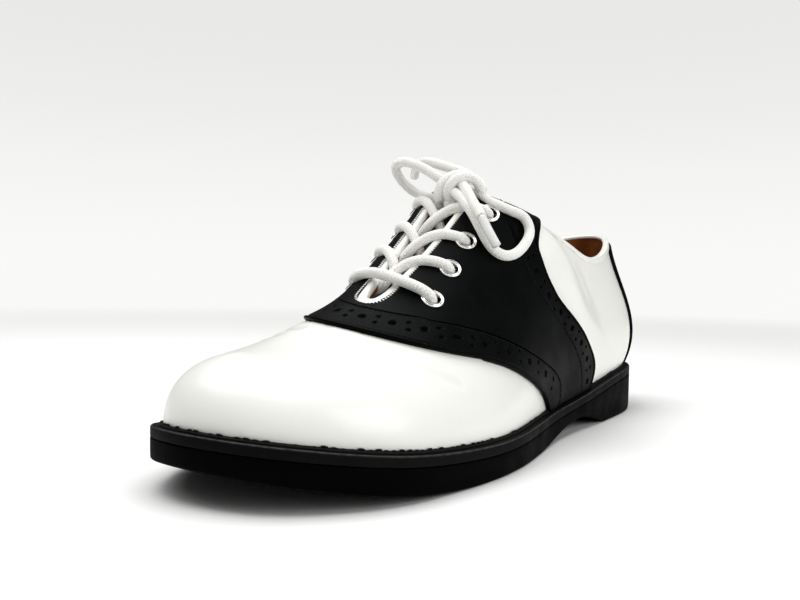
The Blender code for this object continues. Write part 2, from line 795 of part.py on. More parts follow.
def eyelets():
    seat = PANEL_TOP + SEAT
    profile = (
        (EYELET_BORE, GAP - WALL),
        (EYELET_BARREL, GAP - WALL),
        (EYELET_BARREL, seat),
        (EYELET_FLANGE, seat),
        (EYELET_FLANGE - 0.4, seat + 0.8 * EYELET_HIGH),
        (EYELET_FLANGE - 1.2, seat + EYELET_HIGH),
        (EYELET_BORE, seat + 0.5 * EYELET_HIGH),
    )
    for side, word in ((1, "lateral"), (-1, "medial")):
        for k in range(len(EYELETS)):
            turned(f"eyelet_{word}_{k + 1}", profile, *eyelet_frame(k, side), NICKEL)


def hide_cutter(thing):
    thing.hide_render = True
    thing.display_type = "WIRE"
    return thing


def combine(thing, other, operation):
    change = thing.modifiers.new(operation.lower(), "BOOLEAN")
    change.operation = operation
    change.solver = "EXACT"
    change.object = other


def cut_eyelet_holes(things):
    low = -WALL - 1.5
    high = PANEL_TOP + 1.5
    for side, word in ((1, "lateral"), (-1, "medial")):
        for k in range(len(EYELETS)):
            centre, axis = eyelet_frame(k, side)
            ends = [centre + low * axis, centre + high * axis]
            cutter = hide_cutter(rod(f"cut_{word}_{k + 1}", ends, EYELET_HOLE, NICKEL, 14))
            for thing in things:
                combine(thing, cutter, "DIFFERENCE")


# Lace
def even_points(route, spacing):
    """Points at an even spacing on a smooth curve through the route."""
    route = np.array(route, float)
    place = np.concatenate([[0.0], np.cumsum(np.linalg.norm(np.diff(route, axis=0), axis=1))])
    fine = smooth(place, route)(np.linspace(0, place[-1], 400))
    run = np.concatenate([[0.0], np.cumsum(np.linalg.norm(np.diff(fine, axis=0), axis=1))])
    count = max(2, int(round(run[-1] / spacing)) + 1)
    even = np.linspace(0, run[-1], count)
    return np.stack([np.interp(even, run, fine[:, i]) for i in range(3)], axis=1)


def rod(name, path, radius, finish, segments=10):
    """Round rod along a path of points, closed at both ends."""
    path = np.array(path, float)
    ahead = np.gradient(path, axis=0)
    ahead /= np.linalg.norm(ahead, axis=1)[:, None]
    aside = np.cross(ahead[0], (0.3, 0.9, 0.2))
    points = []
    faces = []
    for k, (centre, way) in enumerate(zip(path, ahead)):
        aside = aside - way * np.dot(aside, way)
        aside /= np.linalg.norm(aside)
        over = np.cross(way, aside)
        for i in range(segments):
            angle = 2 * np.pi * i / segments
            points.append(centre + radius * (np.cos(angle) * aside + np.sin(angle) * over))
            if k:
                a = (k - 1) * segments
                j = (i + 1) % segments
                faces.append((a + i, a + j, a + segments + j, a + segments + i))
    last = len(points) - segments
    faces.append(tuple(range(segments)))
    faces.append(tuple(range(last, len(points))))
    return add_mesh(name, points, faces, finish)


def form_at(foot, way, side, height):
    """Point over the instep as if it had no throat; way is 0 at the throat's edge, 1 on the ridge."""
    q = np.array(side * foot)
    edge = throat_edge(q)
    w = np.array(edge + (1 - edge) * way if way > 0 else edge * (1 + way))
    return front_section(q, w) + height * form_normal(q, w)


def eyelet_top(k, side):
    centre, axis = eyelet_frame(k, side)
    return centre + axis * OVER_RIM


OVER_RIM = PANEL_TOP + SEAT + EYELET_HIGH + 2 * GAP + LACE_RADIUS
LOW_LACE = LACE_RADIUS + GAP - WALL - TONGUE_GAP
LACE_STEP = 4.0


def crossing(k, side, height):
    """Strand from the next eyelet over its facing and down into the throat on the other side."""
    high = EYELETS[k + 1][0]
    low = EYELETS[k][0]

    def between(part):
        return high + (low - high) * part

    route = [
        eyelet_top(k + 1, side),
        form_at(between(0.16), -0.03, side, OVER_RIM),
        form_at(between(0.50), 1.0, side, height),
        form_at(between(0.66), 0.50, -side, LOW_LACE + 0.2),
    ]
    return even_points(route, LACE_STEP)


def laces():
    foot = EYELETS[0][0]
    bar = [eyelet_top(0, 1), form_at(foot, -0.03, 1, OVER_RIM), form_at(foot, 1.0, 1, OVER_RIM),
           form_at(foot, -0.03, -1, OVER_RIM), eyelet_top(0, -1)]
    rod("lace_bar", even_points(bar, LACE_STEP), LACE_RADIUS, COTTON)
    for k in range(len(EYELETS) - 1):
        over = rod(f"lace_cross_{k + 1}", crossing(k, 1, 3.0), LACE_RADIUS, COTTON)
        under = rod(f"lace_under_{k + 1}", crossing(k, -1, LOW_LACE + 0.4), LACE_RADIUS, COTTON)
        combine(over, hide_cutter(under), "UNION")


def cord(name, path):
    """Round cord as a curve with a solid bevel."""
    data = bpy.data.curves.new(name, "CURVE")
    data.dimensions = "3D"
    data.bevel_depth = LACE_RADIUS * MM
    data.bevel_resolution = 2
    data.use_fill_caps = True
    line = data.splines.new("POLY")
    line.points.add(len(path) - 1)
    for point, place in zip(line.points, path):
        point.co = (*(place * MM), 1.0)
    data.materials.append(COTTON)
    thing = bpy.data.objects.new(name, data)
    bpy.context.collection.objects.link(thing)


def bow():
    turn = np.linspace(0, 2 * np.pi * KNOT_TURNS, 25)
    knot = np.stack([KNOT_PITCH * (turn / (2 * np.pi) - KNOT_TURNS / 2),
                     KNOT_RADIUS * np.cos(turn), KNOT_RADIUS * np.sin(turn)], axis=1)
    cord("lace_knot", knot + np.array(KNOT))
    cord("lace_loop_lateral", even_points(LOOP_LATERAL, LACE_STEP))
    cord("lace_loop_medial", even_points(LOOP_MEDIAL, LACE_STEP))
    for word, route, last in (("lateral", END_LATERAL, TIP_LATERAL),
                              ("medial", END_MEDIAL, TIP_MEDIAL)):
        path = even_points(route, LACE_STEP)
        cord(f"lace_end_{word}", path)
        way = path[-1] - path[-2]
        way /= np.linalg.norm(way)
        first = path[-1] + TIP_SEAT * way
        rod(f"lace_tip_{word}", [first, first + LACE_RADIUS * way, last], TIP_RADIUS, CLEAR)


CORDS = ("lace_knot", "lace_loop", "lace_end", "lace_tip")

outsole()
welt()
insole()
UPPER = upper("upper", 0.0)
tongue()
PANEL = saddle()
OVERLAYS = (PANEL, band_front(), band_rear("band_rear_lateral", 1),
            band_rear("band_rear_medial", -1), heel_counter(), collar_binding())
ROOM = hide_cutter(upper("cut_upper", GAP))
for overlay in OVERLAYS:
    combine(overlay, ROOM, "DIFFERENCE")
eyelets()
cut_eyelet_holes((UPPER, PANEL))
laces()
bow()


def centre_on_floor():
    """Put the origin under the middle of the box of the shoe itself, cords left out."""
    solids = [thing for thing in bpy.data.objects
              if not thing.hide_render and not thing.name.startswith(CORDS)]
    corners = np.array([point.co for thing in solids for point in thing.data.vertices])
    middle = (corners.min(axis=0) + corners.max(axis=0)) / 2
    shift = Matrix.Translation((-middle[0], -middle[1], 0.0))
    for thing in bpy.data.objects:
        thing.data.transform(shift)


centre_on_floor()
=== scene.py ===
import math

import bmesh
import bpy
import numpy as np
from mathutils import Matrix, Vector


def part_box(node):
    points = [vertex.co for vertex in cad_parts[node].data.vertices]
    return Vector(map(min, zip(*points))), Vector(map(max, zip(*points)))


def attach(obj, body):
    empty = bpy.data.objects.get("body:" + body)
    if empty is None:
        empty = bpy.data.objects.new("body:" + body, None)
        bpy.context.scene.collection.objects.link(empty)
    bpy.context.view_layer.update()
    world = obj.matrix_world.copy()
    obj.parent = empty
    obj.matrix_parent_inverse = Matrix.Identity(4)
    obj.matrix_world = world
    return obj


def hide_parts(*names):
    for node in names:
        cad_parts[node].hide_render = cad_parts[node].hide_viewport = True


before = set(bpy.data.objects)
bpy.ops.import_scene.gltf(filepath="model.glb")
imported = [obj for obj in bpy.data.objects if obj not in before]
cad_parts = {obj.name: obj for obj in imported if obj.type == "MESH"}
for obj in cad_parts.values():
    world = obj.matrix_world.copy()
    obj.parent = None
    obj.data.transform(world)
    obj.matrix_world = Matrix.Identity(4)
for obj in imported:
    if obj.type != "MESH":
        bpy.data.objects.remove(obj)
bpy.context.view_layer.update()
mm = 0.001
fineMerge = 0.004  # in millimetres, for pieces with thin edges

# The last, in millimetres: the form of the solids, with the ridge, throat and topline
# fitted more closely
last = {
    "length": 280.0,
    "ballWidth": 98.0,
    "toeTipAside": -6.5,
    "weltShow": 3.8,
    "gap": 0.3,
    "heelFlatEnd": 0.245,
    "forefootFlat": (0.535, 0.720),
    "archRise": 6.0,
    "archSkew": 0.72,
    "toeSpring": 11.2,
    "springBend": 1.9,
    "throatStart": 0.732,
    "throatHalf": 2.8,
    "throatTopHalf": 7.4,
    "throatLength": 52.0,
    "throatOpens": 0.6,
    "rim": 2.0,
    "rimDeeper": 1.1,
    "cornerFoot": 0.62,
    "cornerBlend": 0.16,
    "ridgeTurn": 0.30,
    # along, lateral half width, medial half width
    "outline": (
        (0.030, 0.190, 0.185), (0.100, 0.308, 0.298), (0.200, 0.349, 0.330),
        (0.320, 0.371, 0.315), (0.450, 0.395, 0.300), (0.580, 0.472, 0.378),
        (0.680, 0.508, 0.455), (0.770, 0.494, 0.484), (0.860, 0.443, 0.456),
        (0.940, 0.303, 0.355), (0.985, 0.138, 0.228),
    ),
    # along, height
    "weltTop": (
        (0.00, 22.6), (0.10, 22.0), (0.25, 18.2), (0.40, 13.6),
        (0.55, 11.8), (0.70, 11.7), (0.85, 14.6), (1.00, 21.2),
    ),
    # along, aside, height, tilt
    "ridge": (
        (0.90, -5.0, 42.3, -0.02), (0.86, -4.0, 44.0, -0.06), (0.80, -0.4, 49.1, -0.13),
        (0.74, 2.8, 55.8, -0.18), (0.68, 1.8, 65.8, -0.19), (0.62, 0.9, 77.9, -0.17),
        (0.56, 0.6, 91.9, -0.13), (0.50, 0.8, 106.4, -0.08), (0.42, 1.2, 121.5, 0.00),
    ),
    # foot, along, rise, reach, flare
    "sections": (
        (0.00, 0.910, 0.44, 0.40, 0.5), (0.12, 0.893, 0.42, 0.40, 1.0),
        (0.22, 0.862, 0.38, 0.41, 1.5), (0.30, 0.820, 0.36, 0.43, 1.5),
        (0.36, 0.778, 0.33, 0.45, 1.0), (0.42, 0.728, 0.31, 0.47, 0.5),
        (0.48, 0.669, 0.30, 0.47, 0.5), (0.54, 0.604, 0.31, 0.45, 0.5),
        (0.62, 0.524, 0.33, 0.41, 0.5), (0.70, 0.440, 0.34, 0.35, 3.0),
        (0.80, 0.430, 0.34, 0.31, 11.0), (0.90, 0.430, 0.36, 0.32, 20.0),
        (1.00, 0.430, 0.38, 0.34, 15.0),
    ),
    # foot, along, aside, height, lean
    "topline": (
        (0.66, 0.462, 18.3, 93.6, 42.0), (0.70, 0.412, 22.3, 88.6, 58.0),
        (0.75, 0.335, 25.5, 81.4, 68.0), (0.80, 0.265, 26.5, 75.5, 74.0),
        (0.85, 0.195, 25.0, 77.0, 76.0), (0.90, 0.130, 20.5, 82.5, 76.0),
        (0.95, 0.070, 12.0, 87.5, 78.0), (1.00, 0.042, 0.0, 89.0, 80.0),
    ),
}
corner = last["cornerFoot"]


def spline(knots, values):
    # natural cubic through the values
    x = np.asarray(knots, float)
    y = np.asarray(values, float)
    step = np.diff(x)
    count = len(x)
    system = np.eye(count)
    right = np.zeros_like(y)
    for k in range(1, count - 1):
        system[k, k - 1:k + 2] = step[k - 1], 2 * (step[k - 1] + step[k]), step[k]
        right[k] = 6 * ((y[k + 1] - y[k]) / step[k] - (y[k] - y[k - 1]) / step[k - 1])
    bend = np.linalg.solve(system, right)

    def at(t):
        t = np.clip(np.asarray(t, float), x[0], x[-1])
        k = np.clip(np.searchsorted(x, t, side="right") - 1, 0, count - 2)
        h = step[k]
        a = (x[k + 1] - t) / h
        b = (t - x[k]) / h
        wide = (Ellipsis,) + (None,) * (y.ndim - 1)
        curve = (a ** 3 - a)[wide] * bend[k] + (b ** 3 - b)[wide] * bend[k + 1]
        return a[wide] * y[k] + b[wide] * y[k + 1] + curve * (h ** 2 / 6)[wide]

    return at


def lineOf(table, k):
    rows = sorted(table)
    return spline([r[0] for r in rows], [r[k] for r in rows])


def ease(t):
    t = np.clip(t, 0.0, 1.0)
    return t * t * (3 - 2 * t)


def unit(a):
    return a / np.maximum(np.linalg.norm(a, axis=-1), 1e-9)[..., None]


def runOf(points):
    steps = np.linalg.norm(np.diff(points, axis=0), axis=1)
    return np.concatenate([[0.0], np.cumsum(steps)])


def halfOutline(side, inset, samples=161):
    size, wide = last["length"], last["ballWidth"]
    lateral = [(size * (0.5 - s), wide * a) for s, a, b in last["outline"]]
    medial = [(size * (0.5 - s), -wide * b) for s, a, b in last["outline"]]
    ring = [(size / 2, 0.0)] + lateral + [(-size / 2, last["toeTipAside"])] + medial[::-1]
    turns = np.array(ring + ring + ring + ring[:1])
    chords = np.sqrt(np.linalg.norm(np.diff(turns, axis=0), axis=1))
    place = np.concatenate([[0.0], np.cumsum(chords)])
    curve = spline(place, turns)
    toe = place[len(ring) + len(lateral) + 1]
    heel = place[len(ring)] if side > 0 else place[2 * len(ring)]
    t = np.linspace(toe, heel, 4 * samples)
    points = curve(t)
    ahead = unit(curve(t + 1e-3) - curve(t - 1e-3))
    points = points + inset * np.stack([-ahead[:, 1], ahead[:, 0]], axis=1)
    run = runOf(points)
    even = np.linspace(0.0, run[-1], samples)
    return np.stack([np.interp(even, run, points[:, 1]), np.interp(even, run, points[:, 0])], 1)


def outlineCurve(inset):
    # foot runs from -1, heel back on the medial side, over 0, the toe tip, to 1
    ring = np.concatenate([halfOutline(-1, inset)[::-1], halfOutline(1, inset)[1:]])
    foot = np.linspace(-1.0, 1.0, len(ring))
    margin = 12
    knots = np.concatenate([foot[-margin - 1:-1] - 2, foot, foot[1:margin + 1] + 2])
    values = np.concatenate([ring[-margin - 1:-1], ring, ring[1:margin + 1]])
    return spline(knots[::4], values[::4])


def share(y):
    return 0.5 - y / last["length"]


def treadHeight(s):
    flat = last["forefootFlat"]
    arch = np.clip((s - last["heelFlatEnd"]) / (flat[0] - last["heelFlatEnd"]), 0, 1)
    spring = np.clip((s - flat[1]) / (1 - flat[1]), 0, 1)
    vault = last["archRise"] * np.sin(np.pi * arch ** last["archSkew"]) ** 2
    return vault + last["toeSpring"] * spring ** last["springBend"]


weltHeight = lineOf(last["weltTop"], 1)
featherLine = outlineCurve(last["weltShow"])
ridgeAside, ridgeHeight, ridgeTilt = (lineOf(last["ridge"], k) for k in (1, 2, 3))
topAlong, riseShare, reachShare, flareSize = (lineOf(last["sections"], k) for k in (1, 2, 3, 4))


def throatWidth(s, inset=0.0, deeper=0.0):
    bow = last["throatHalf"] + inset
    depth = (last["throatStart"] - s) * last["length"] + inset + deeper
    bend = np.clip(depth / bow, 0, 1)
    leg = np.clip((depth - bow) / last["throatLength"], 0, 1.5)
    widening = (last["throatTopHalf"] - last["throatHalf"]) * leg ** last["throatOpens"]
    return bow * np.sqrt(1 - (1 - bend) ** 2) + widening


def crownSlopes(s):
    step = 0.004
    fall = (ridgeHeight(s + step) - ridgeHeight(s - step)) / (2 * step * last["length"])
    return ridgeTilt(s), -fall


def featherPoint(q):
    plan = featherLine(q)
    high = weltHeight(share(plan[..., 1])) + last["gap"]
    return np.concatenate([plan, high[..., None]], -1)


def planWay(low, top):
    into = top - low
    into[..., 2] = 0
    return unit(into)


def handles(low, top, aim, foot):
    chord = np.linalg.norm(top - low, axis=-1)
    out = planWay(low, top) * flareSize(foot)[..., None]
    first = low + np.array([0.0, 0.0, 1.0]) * (riseShare(foot) * chord)[..., None] - out
    return first, top - aim * (reachShare(foot) * chord)[..., None]


def cubic(a, b, c, d, t):
    t = t[..., None]
    return a * (1 - t) ** 3 + 3 * b * t * (1 - t) ** 2 + 3 * c * t ** 2 * (1 - t) + d * t ** 3


def frontControls(q):
    foot = np.abs(q)
    low = featherPoint(q)
    s = topAlong(foot)
    top = np.stack([ridgeAside(s), last["length"] * (0.5 - s), ridgeHeight(s)], -1)
    aim = planWay(low, top)
    turn = ease(foot / last["ridgeTurn"])
    aim[..., 0] = aim[..., 0] * (1 - turn) - np.where(q < 0, -1, 1) * turn
    aim[..., 1] = aim[..., 1] * (1 - turn)
    slopeX, slopeY = crownSlopes(s)
    aim[..., 2] = aim[..., 0] * slopeX + aim[..., 1] * slopeY
    first, second = handles(low, top, unit(aim), foot)
    return low, first, second, top


def frontForm(q, w):
    return cubic(*frontControls(np.asarray(q, float)), np.asarray(w, float))


def throatEdge(q, inset=0.0, deeper=0.0):
    q = np.asarray(q, float)
    w = np.linspace(0.5, 1.0, 41)
    points = frontForm(q[..., None] + 0 * w, np.broadcast_to(w, q.shape + w.shape))
    aside = np.abs(points[..., 0] - points[..., -1:, 0])
    half = throatWidth(topAlong(np.abs(q)), inset, deeper)[..., None]
    k = np.clip((aside > half).sum(axis=-1, keepdims=True), 1, len(w) - 1)
    far = np.take_along_axis(aside, k - 1, -1)
    near = np.take_along_axis(aside, k, -1)
    part = np.clip((far - half) / np.maximum(far - near, 1e-9), 0, 1)
    return (w[k - 1] + part * (w[1] - w[0]))[..., 0]


def toplineCurve():
    lateral = list(last["topline"])
    medial = [(2 - f, s, -x, h, lean) for f, s, x, h, lean in last["topline"][-2::-1]]
    ends = []
    for side in (1, -1):
        point = frontForm(side * corner, throatEdge(side * corner))
        ends.append((share(point[1]), point[0], point[2], last["topline"][0][4] / 2))
    knots = [corner] + [r[0] for r in lateral + medial] + [2 - corner]
    values = [ends[0]] + [r[1:] for r in lateral + medial] + [ends[1]]
    return spline(knots, np.array(values, float))


topline = toplineCurve()
edgeFeet = np.linspace(-corner, corner, 2481)
edgeShare = throatEdge(edgeFeet)
saddleShare = throatEdge(edgeFeet, last["rim"], last["rimDeeper"]) / edgeShare


def upperPoint(q, v):
    # outside of the upper: v is 0 at the feather line, 1 on the ridge or the open edge
    q, v = np.broadcast_arrays(np.asarray(q, float), np.asarray(v, float))
    q = (q + 1) % 2 - 1
    foot = np.abs(q)
    a, b, c, d = frontControls(q)
    t = np.interp(np.clip(q, -corner, corner), edgeFeet, edgeShare)[..., None]
    ab, bc, cd = a + (b - a) * t, b + (c - b) * t, c + (d - c) * t
    abc, bcd = ab + (bc - ab) * t, bc + (cd - bc) * t
    low, first, second, top = a, ab, abc, abc + (bcd - abc) * t
    line = topline(np.where(q >= 0, foot, 2 - foot))
    backTop = np.stack([line[..., 1], last["length"] * (0.5 - line[..., 0]), line[..., 2]], -1)
    lean = np.radians(line[..., 3])[..., None]
    aim = planWay(low, backTop) * np.cos(lean) + np.array([0.0, 0.0, 1.0]) * np.sin(lean)
    backFirst, backSecond = handles(low, backTop, aim, foot)
    isBack = (foot > corner)[..., None]
    blend = ease((foot - corner) / last["cornerBlend"])[..., None]
    first = first + (backFirst - first) * blend
    second = np.where(isBack, backTop + (second - top) * (1 - blend)
                      + (backSecond - backTop) * blend, second)
    return cubic(low, first, second, np.where(isBack, backTop, top), v)


def ridgeNormal(foot):
    slopeX, slopeY = crownSlopes(topAlong(foot))
    return unit(np.stack([-slopeX, -slopeY, np.ones_like(slopeX)], -1))


def footAt(s):
    feet = np.linspace(0.3, 0.6, 601)
    return float(np.interp(-s, -topAlong(feet), feet))


throatFoot = footAt(last["throatStart"])


def skinNormal(q, v, step=0.003):
    q, v = np.broadcast_arrays(np.asarray(q, float), np.asarray(v, float))
    along = upperPoint(q + step, v) - upperPoint(q - step, v)
    across = upperPoint(q, np.clip(v + step, 0, 1)) - upperPoint(q, np.clip(v - step, 0, 1))
    normal = unit(np.cross(along, across))
    onRidge = (np.abs(q) < throatFoot + 1e-6) & (v > 1 - 1e-9)
    normal[onRidge] = ridgeNormal(np.abs(q[onRidge]))
    normal[v < 1e-9, 2] = 0
    return unit(normal)


def skin(q, v, height=0.0):
    q, v = np.broadcast_arrays(np.asarray(q, float), np.asarray(v, float))
    return upperPoint(q, v) + np.asarray(height)[..., None] * skinNormal(q, v)


def formNormal(q, w, step=0.003):
    along = frontForm(q + step, w) - frontForm(q - step, w)
    across = frontForm(q, np.minimum(w + step, 1)) - frontForm(q, w - step)
    normal = np.where((w > 1 - 1e-9)[..., None], ridgeNormal(np.abs(q)), np.cross(along, across))
    return unit(normal)


# The frame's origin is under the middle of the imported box
planPoints = outlineCurve(0.0)(np.linspace(-1, 1, 81))
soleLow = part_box("outsole")[0]
shift = np.array([soleLow.x / mm - planPoints[:, 0].min(),
                  soleLow.y / mm - planPoints[:, 1].min(), 0.0])
print("last ready, shift", shift.round(3))


def toFrame(points):
    return (np.asarray(points) + shift) * mm


# Mesh helpers
def addSheet(bm, columns, rows, place, uv=None, marks=None):
    # uv and marks are functions of the same column and row values as place
    columns, rows = np.asarray(columns, float), np.asarray(rows, float)
    layers = {name: bm.verts.layers.float.get(name) or bm.verts.layers.float.new(name)
              for name in marks or {}}
    flatMap = uv and (bm.loops.layers.uv.get("map") or bm.loops.layers.uv.new("map"))
    made = bmesh.ops.create_grid(bm, x_segments=len(columns) - 1, y_segments=len(rows) - 1,
                                 size=1.0)["verts"]
    flat = np.array([v.co[:2] for v in made]) / 2 + 0.5
    i = np.rint(flat[:, 0] * (len(columns) - 1)).astype(int)
    j = np.rint(flat[:, 1] * (len(rows) - 1)).astype(int)
    for vert, point in zip(made, toFrame(place(columns[i], rows[j]))):
        vert.co = point
    for name, layer in layers.items():
        for vert, amount in zip(made, marks[name](columns[i], rows[j])):
            vert[layer] = amount
    if uv:
        spots = dict(zip(made, uv(columns[i], rows[j])))
        for face in {f for v in made for f in v.link_faces}:
            for loop in face.loops:
                loop[flatMap].uv = spots[loop.vert]
    return made


def addStitches(bm, points, ways, ups, size):
    # small rounded capsules laid along a line
    for point, way, up in zip(toFrame(points), ways, ups):
        made = bmesh.ops.create_uvsphere(bm, u_segments=6, v_segments=4, radius=mm)["verts"]
        along = Vector(way).normalized()
        aside = Vector(up).cross(along).normalized()
        turn = Matrix((along, aside, along.cross(aside))).transposed().to_4x4()
        bmesh.ops.transform(bm, verts=made, matrix=Matrix.Translation(Vector(point)) @ turn
                            @ Matrix.Diagonal((*size, 1.0)))


def evenPlaces(points, pitch):
    # places along a line of points, a pitch apart
    run = runOf(points)
    even = np.arange(pitch / 2, run[-1], pitch)
    return lambda values: np.stack([np.interp(even, run, values[:, k]) for k in range(3)], axis=1)


def capEnds(bm):
    bmesh.ops.remove_doubles(bm, verts=bm.verts, dist=fineMerge * mm)
    bmesh.ops.holes_fill(bm, edges=[e for e in bm.edges if e.is_boundary], sides=0)


def onRings(rings):
    return lambda k, i: rings[k.astype(int), i.astype(int)]


def closeUp(bm, inside=None, merge=0.01):
    # inside is a point that the faces have to look away from, for an open sheet
    bmesh.ops.remove_doubles(bm, verts=bm.verts, dist=merge * mm)
    bmesh.ops.recalc_face_normals(bm, faces=bm.faces)
    if inside is None:
        turned = bm.calc_volume(signed=True) < 0
    else:
        heart = Vector(toFrame(inside))
        turned = sum(f.normal.dot(f.calc_center_median() - heart) for f in bm.faces) < 0
    if turned:
        bmesh.ops.reverse_faces(bm, faces=bm.faces)


def addPiece(name, bm, finishes, nodes=()):
    data = bpy.data.meshes.new(name)
    bm.to_mesh(data)
    bm.free()
    for finish in finishes:
        data.materials.append(finish)
    data.shade_smooth()
    piece = bpy.data.objects.new(name, data)
    bpy.context.scene.collection.objects.link(piece)
    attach(piece, "root")
    if nodes:
        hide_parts(*nodes)
    return piece


sharpAngle = 50  # edges of a wall sharper than this are rounded


def addWall(piece, thick, inner=0, rim=0, edge=0.0, even=True):
    wall = piece.modifiers.new("wall", "SOLIDIFY")
    wall.thickness = thick * mm
    wall.offset = -1
    wall.use_even_offset = even
    wall.material_offset = inner
    wall.material_offset_rim = rim
    if edge:
        soft = piece.modifiers.new("edge", "BEVEL")
        soft.width = edge * mm
        soft.segments = 2
        soft.limit_method = "ANGLE"
        soft.angle_limit = math.radians(sharpAngle)
    return piece


# Finishes: shared effects are node groups, each used with its own values
def startGroup(name, inputs, outputs):
    group = bpy.data.node_groups.new(name, "ShaderNodeTree")
    for label, kind in inputs:
        group.interface.new_socket(label, in_out="INPUT", socket_type="NodeSocket" + kind)
    for label in outputs:
        group.interface.new_socket(label, in_out="OUTPUT", socket_type="NodeSocketFloat")
    into = group.nodes.new("NodeGroupInput").outputs
    return group, into, group.nodes.new("NodeGroupOutput").inputs


def addNode(tree, kind, values=(), **settings):
    node = tree.nodes.new("ShaderNode" + kind)
    for key, value in settings.items():
        setattr(node, key, value)
    for key, value in dict(values).items():
        if isinstance(value, bpy.types.NodeSocket):
            tree.links.new(value, node.inputs[key])
        else:
            node.inputs[key].default_value = value
    return node


def sums(tree, operation, *values):
    return addNode(tree, "Math", dict(enumerate(values)), operation=operation).outputs[0]


def remap(tree, value, low, high, toLow=0.0, toHigh=1.0):
    values = {"Value": value, "From Min": low, "From Max": high, "To Min": toLow, "To Max": toHigh}
    return addNode(tree, "MapRange", values, interpolation_type="SMOOTHSTEP").outputs["Result"]


def mixColour(tree, part, first, second):
    return addNode(tree, "Mix", {0: part, 6: first, 7: second}, data_type="RGBA").outputs[2]


def noise(tree, where, scale, detail=3.0):
    values = {"Vector": where, "Scale": scale, "Detail": detail, "Roughness": 0.6}
    return addNode(tree, "TexNoise", values).outputs[0]


effectSize = {
    "grainFine": 2600.0,
    "grainWall": 0.25,
    "mottle": 60.0,
    "patches": 420.0,
    "patchSpread": (1.4, 0.3),
    "patchEdge": (0.1, 0.95),
    "speckEdge": (0.055, 0.03),
    "speckPick": (0.88, 0.90),
    "braidStep": 0.72,  # crossings in a millimetre of lace
    "braidTurn": 9.0,  # crossings round the lace
    "yarn": 5.0,
}


def makeGrain():
    group, into, out = startGroup("leather grain", [("Vector", "Vector"), ("Cells", "Float")],
                                  ["Height", "Mottle"])
    cells = addNode(group, "TexVoronoi", {"Vector": into["Vector"], "Scale": into["Cells"]},
                    feature="DISTANCE_TO_EDGE").outputs["Distance"]
    fine = noise(group, into["Vector"], effectSize["grainFine"], 2.0)
    plateau = remap(group, cells, 0.0, effectSize["grainWall"])
    group.links.new(sums(group, "MULTIPLY_ADD", fine, 0.5, plateau), out["Height"])
    mottle = noise(group, into["Vector"], effectSize["mottle"], 5.0)
    group.links.new(remap(group, mottle, 0.3, 0.7), out["Mottle"])
    return group


def makeRub():
    # breaks a painted mark up into patches: soil, wear, and the painted highlight along the welt's
    # top edge
    group, into, out = startGroup("worn patches", [("Vector", "Vector"), ("Amount", "Float")],
                                  ["Mask"])
    broken = noise(group, into["Vector"], effectSize["patches"], 4.0)
    patches = sums(group, "MULTIPLY_ADD", broken, *effectSize["patchSpread"])
    amount = sums(group, "MULTIPLY", into["Amount"], patches)
    group.links.new(remap(group, amount, *effectSize["patchEdge"]), out["Mask"])
    return group


def makeSpecks():
    group, into, out = startGroup("fine specks", [("Vector", "Vector"), ("Cells", "Float")],
                                  ["Mask"])
    dots = addNode(group, "TexVoronoi", {"Vector": into["Vector"], "Scale": into["Cells"]})
    pick = addNode(group, "SeparateColor", {"Color": dots.outputs["Color"]}).outputs["Red"]
    near = remap(group, dots.outputs["Distance"], *effectSize["speckEdge"])
    few = remap(group, pick, *effectSize["speckPick"])
    group.links.new(sums(group, "MULTIPLY", near, few), out["Mask"])
    return group


def makeBraid():
    # the map runs in millimetres along the lace and in turns round it
    group, into, out = startGroup("round braid", [("Vector", "Vector")], ["Height", "Shade"])
    along = addNode(group, "SeparateXYZ", {"Vector": into["Vector"]}).outputs
    step = sums(group, "MULTIPLY", along["X"], effectSize["braidStep"])
    right = sums(group, "MULTIPLY_ADD", along["Y"], effectSize["braidTurn"], step)
    left = sums(group, "MULTIPLY_ADD", along["Y"], -effectSize["braidTurn"], step)
    ridges = [sums(group, "ABSOLUTE", sums(group, "SINE", sums(group, "MULTIPLY", way, math.pi)))
              for way in (right, left)]
    cell = sums(group, "ADD", sums(group, "FLOOR", right), sums(group, "FLOOR", left))
    over = sums(group, "FLOORED_MODULO", cell, 2.0)
    keep = sums(group, "SUBTRACT", 1.0, over)
    woven = sums(group, "MULTIPLY_ADD", ridges[0], over, sums(group, "MULTIPLY", ridges[1], keep))
    yarn = noise(group, into["Vector"], effectSize["yarn"], 3.0)
    group.links.new(sums(group, "MULTIPLY_ADD", yarn, 0.3, woven), out["Height"])
    group.links.new(remap(group, woven, 0.0, 0.7), out["Shade"])
    return group


groups = {made.name: made for made in (makeGrain(), makeRub(), makeSpecks(), makeBraid())}


def effect(tree, name, **values):
    return addNode(tree, "Group", values, node_tree=groups[name]).outputs


def mark(tree, name):
    return addNode(tree, "Attribute", attribute_name=name).outputs["Fac"]


def rgb(*colour):
    return (*colour, 1.0)


def startFinish(name, fixed):
    made = bpy.data.materials.new(name)
    made.use_nodes = True
    shader = made.node_tree.nodes["Principled BSDF"].inputs
    for label, value in fixed.items():
        shader[label].default_value = value
    return made, made.node_tree, shader


def addBump(tree, shader, height, strength, deep):
    bump = addNode(tree, "Bump", {"Height": height, "Strength": strength, "Distance": deep * mm})
    tree.links.new(bump.outputs["Normal"], shader["Normal"])


leatherLook = {
    "soilRough": 0.25,
    "bumpDeep": 0.12,
}
rubberLook = {
    "broad": 90.0,
    "broadRough": 0.15,
    "fine": 1500.0,
    "bumpDeep": 0.15,
}


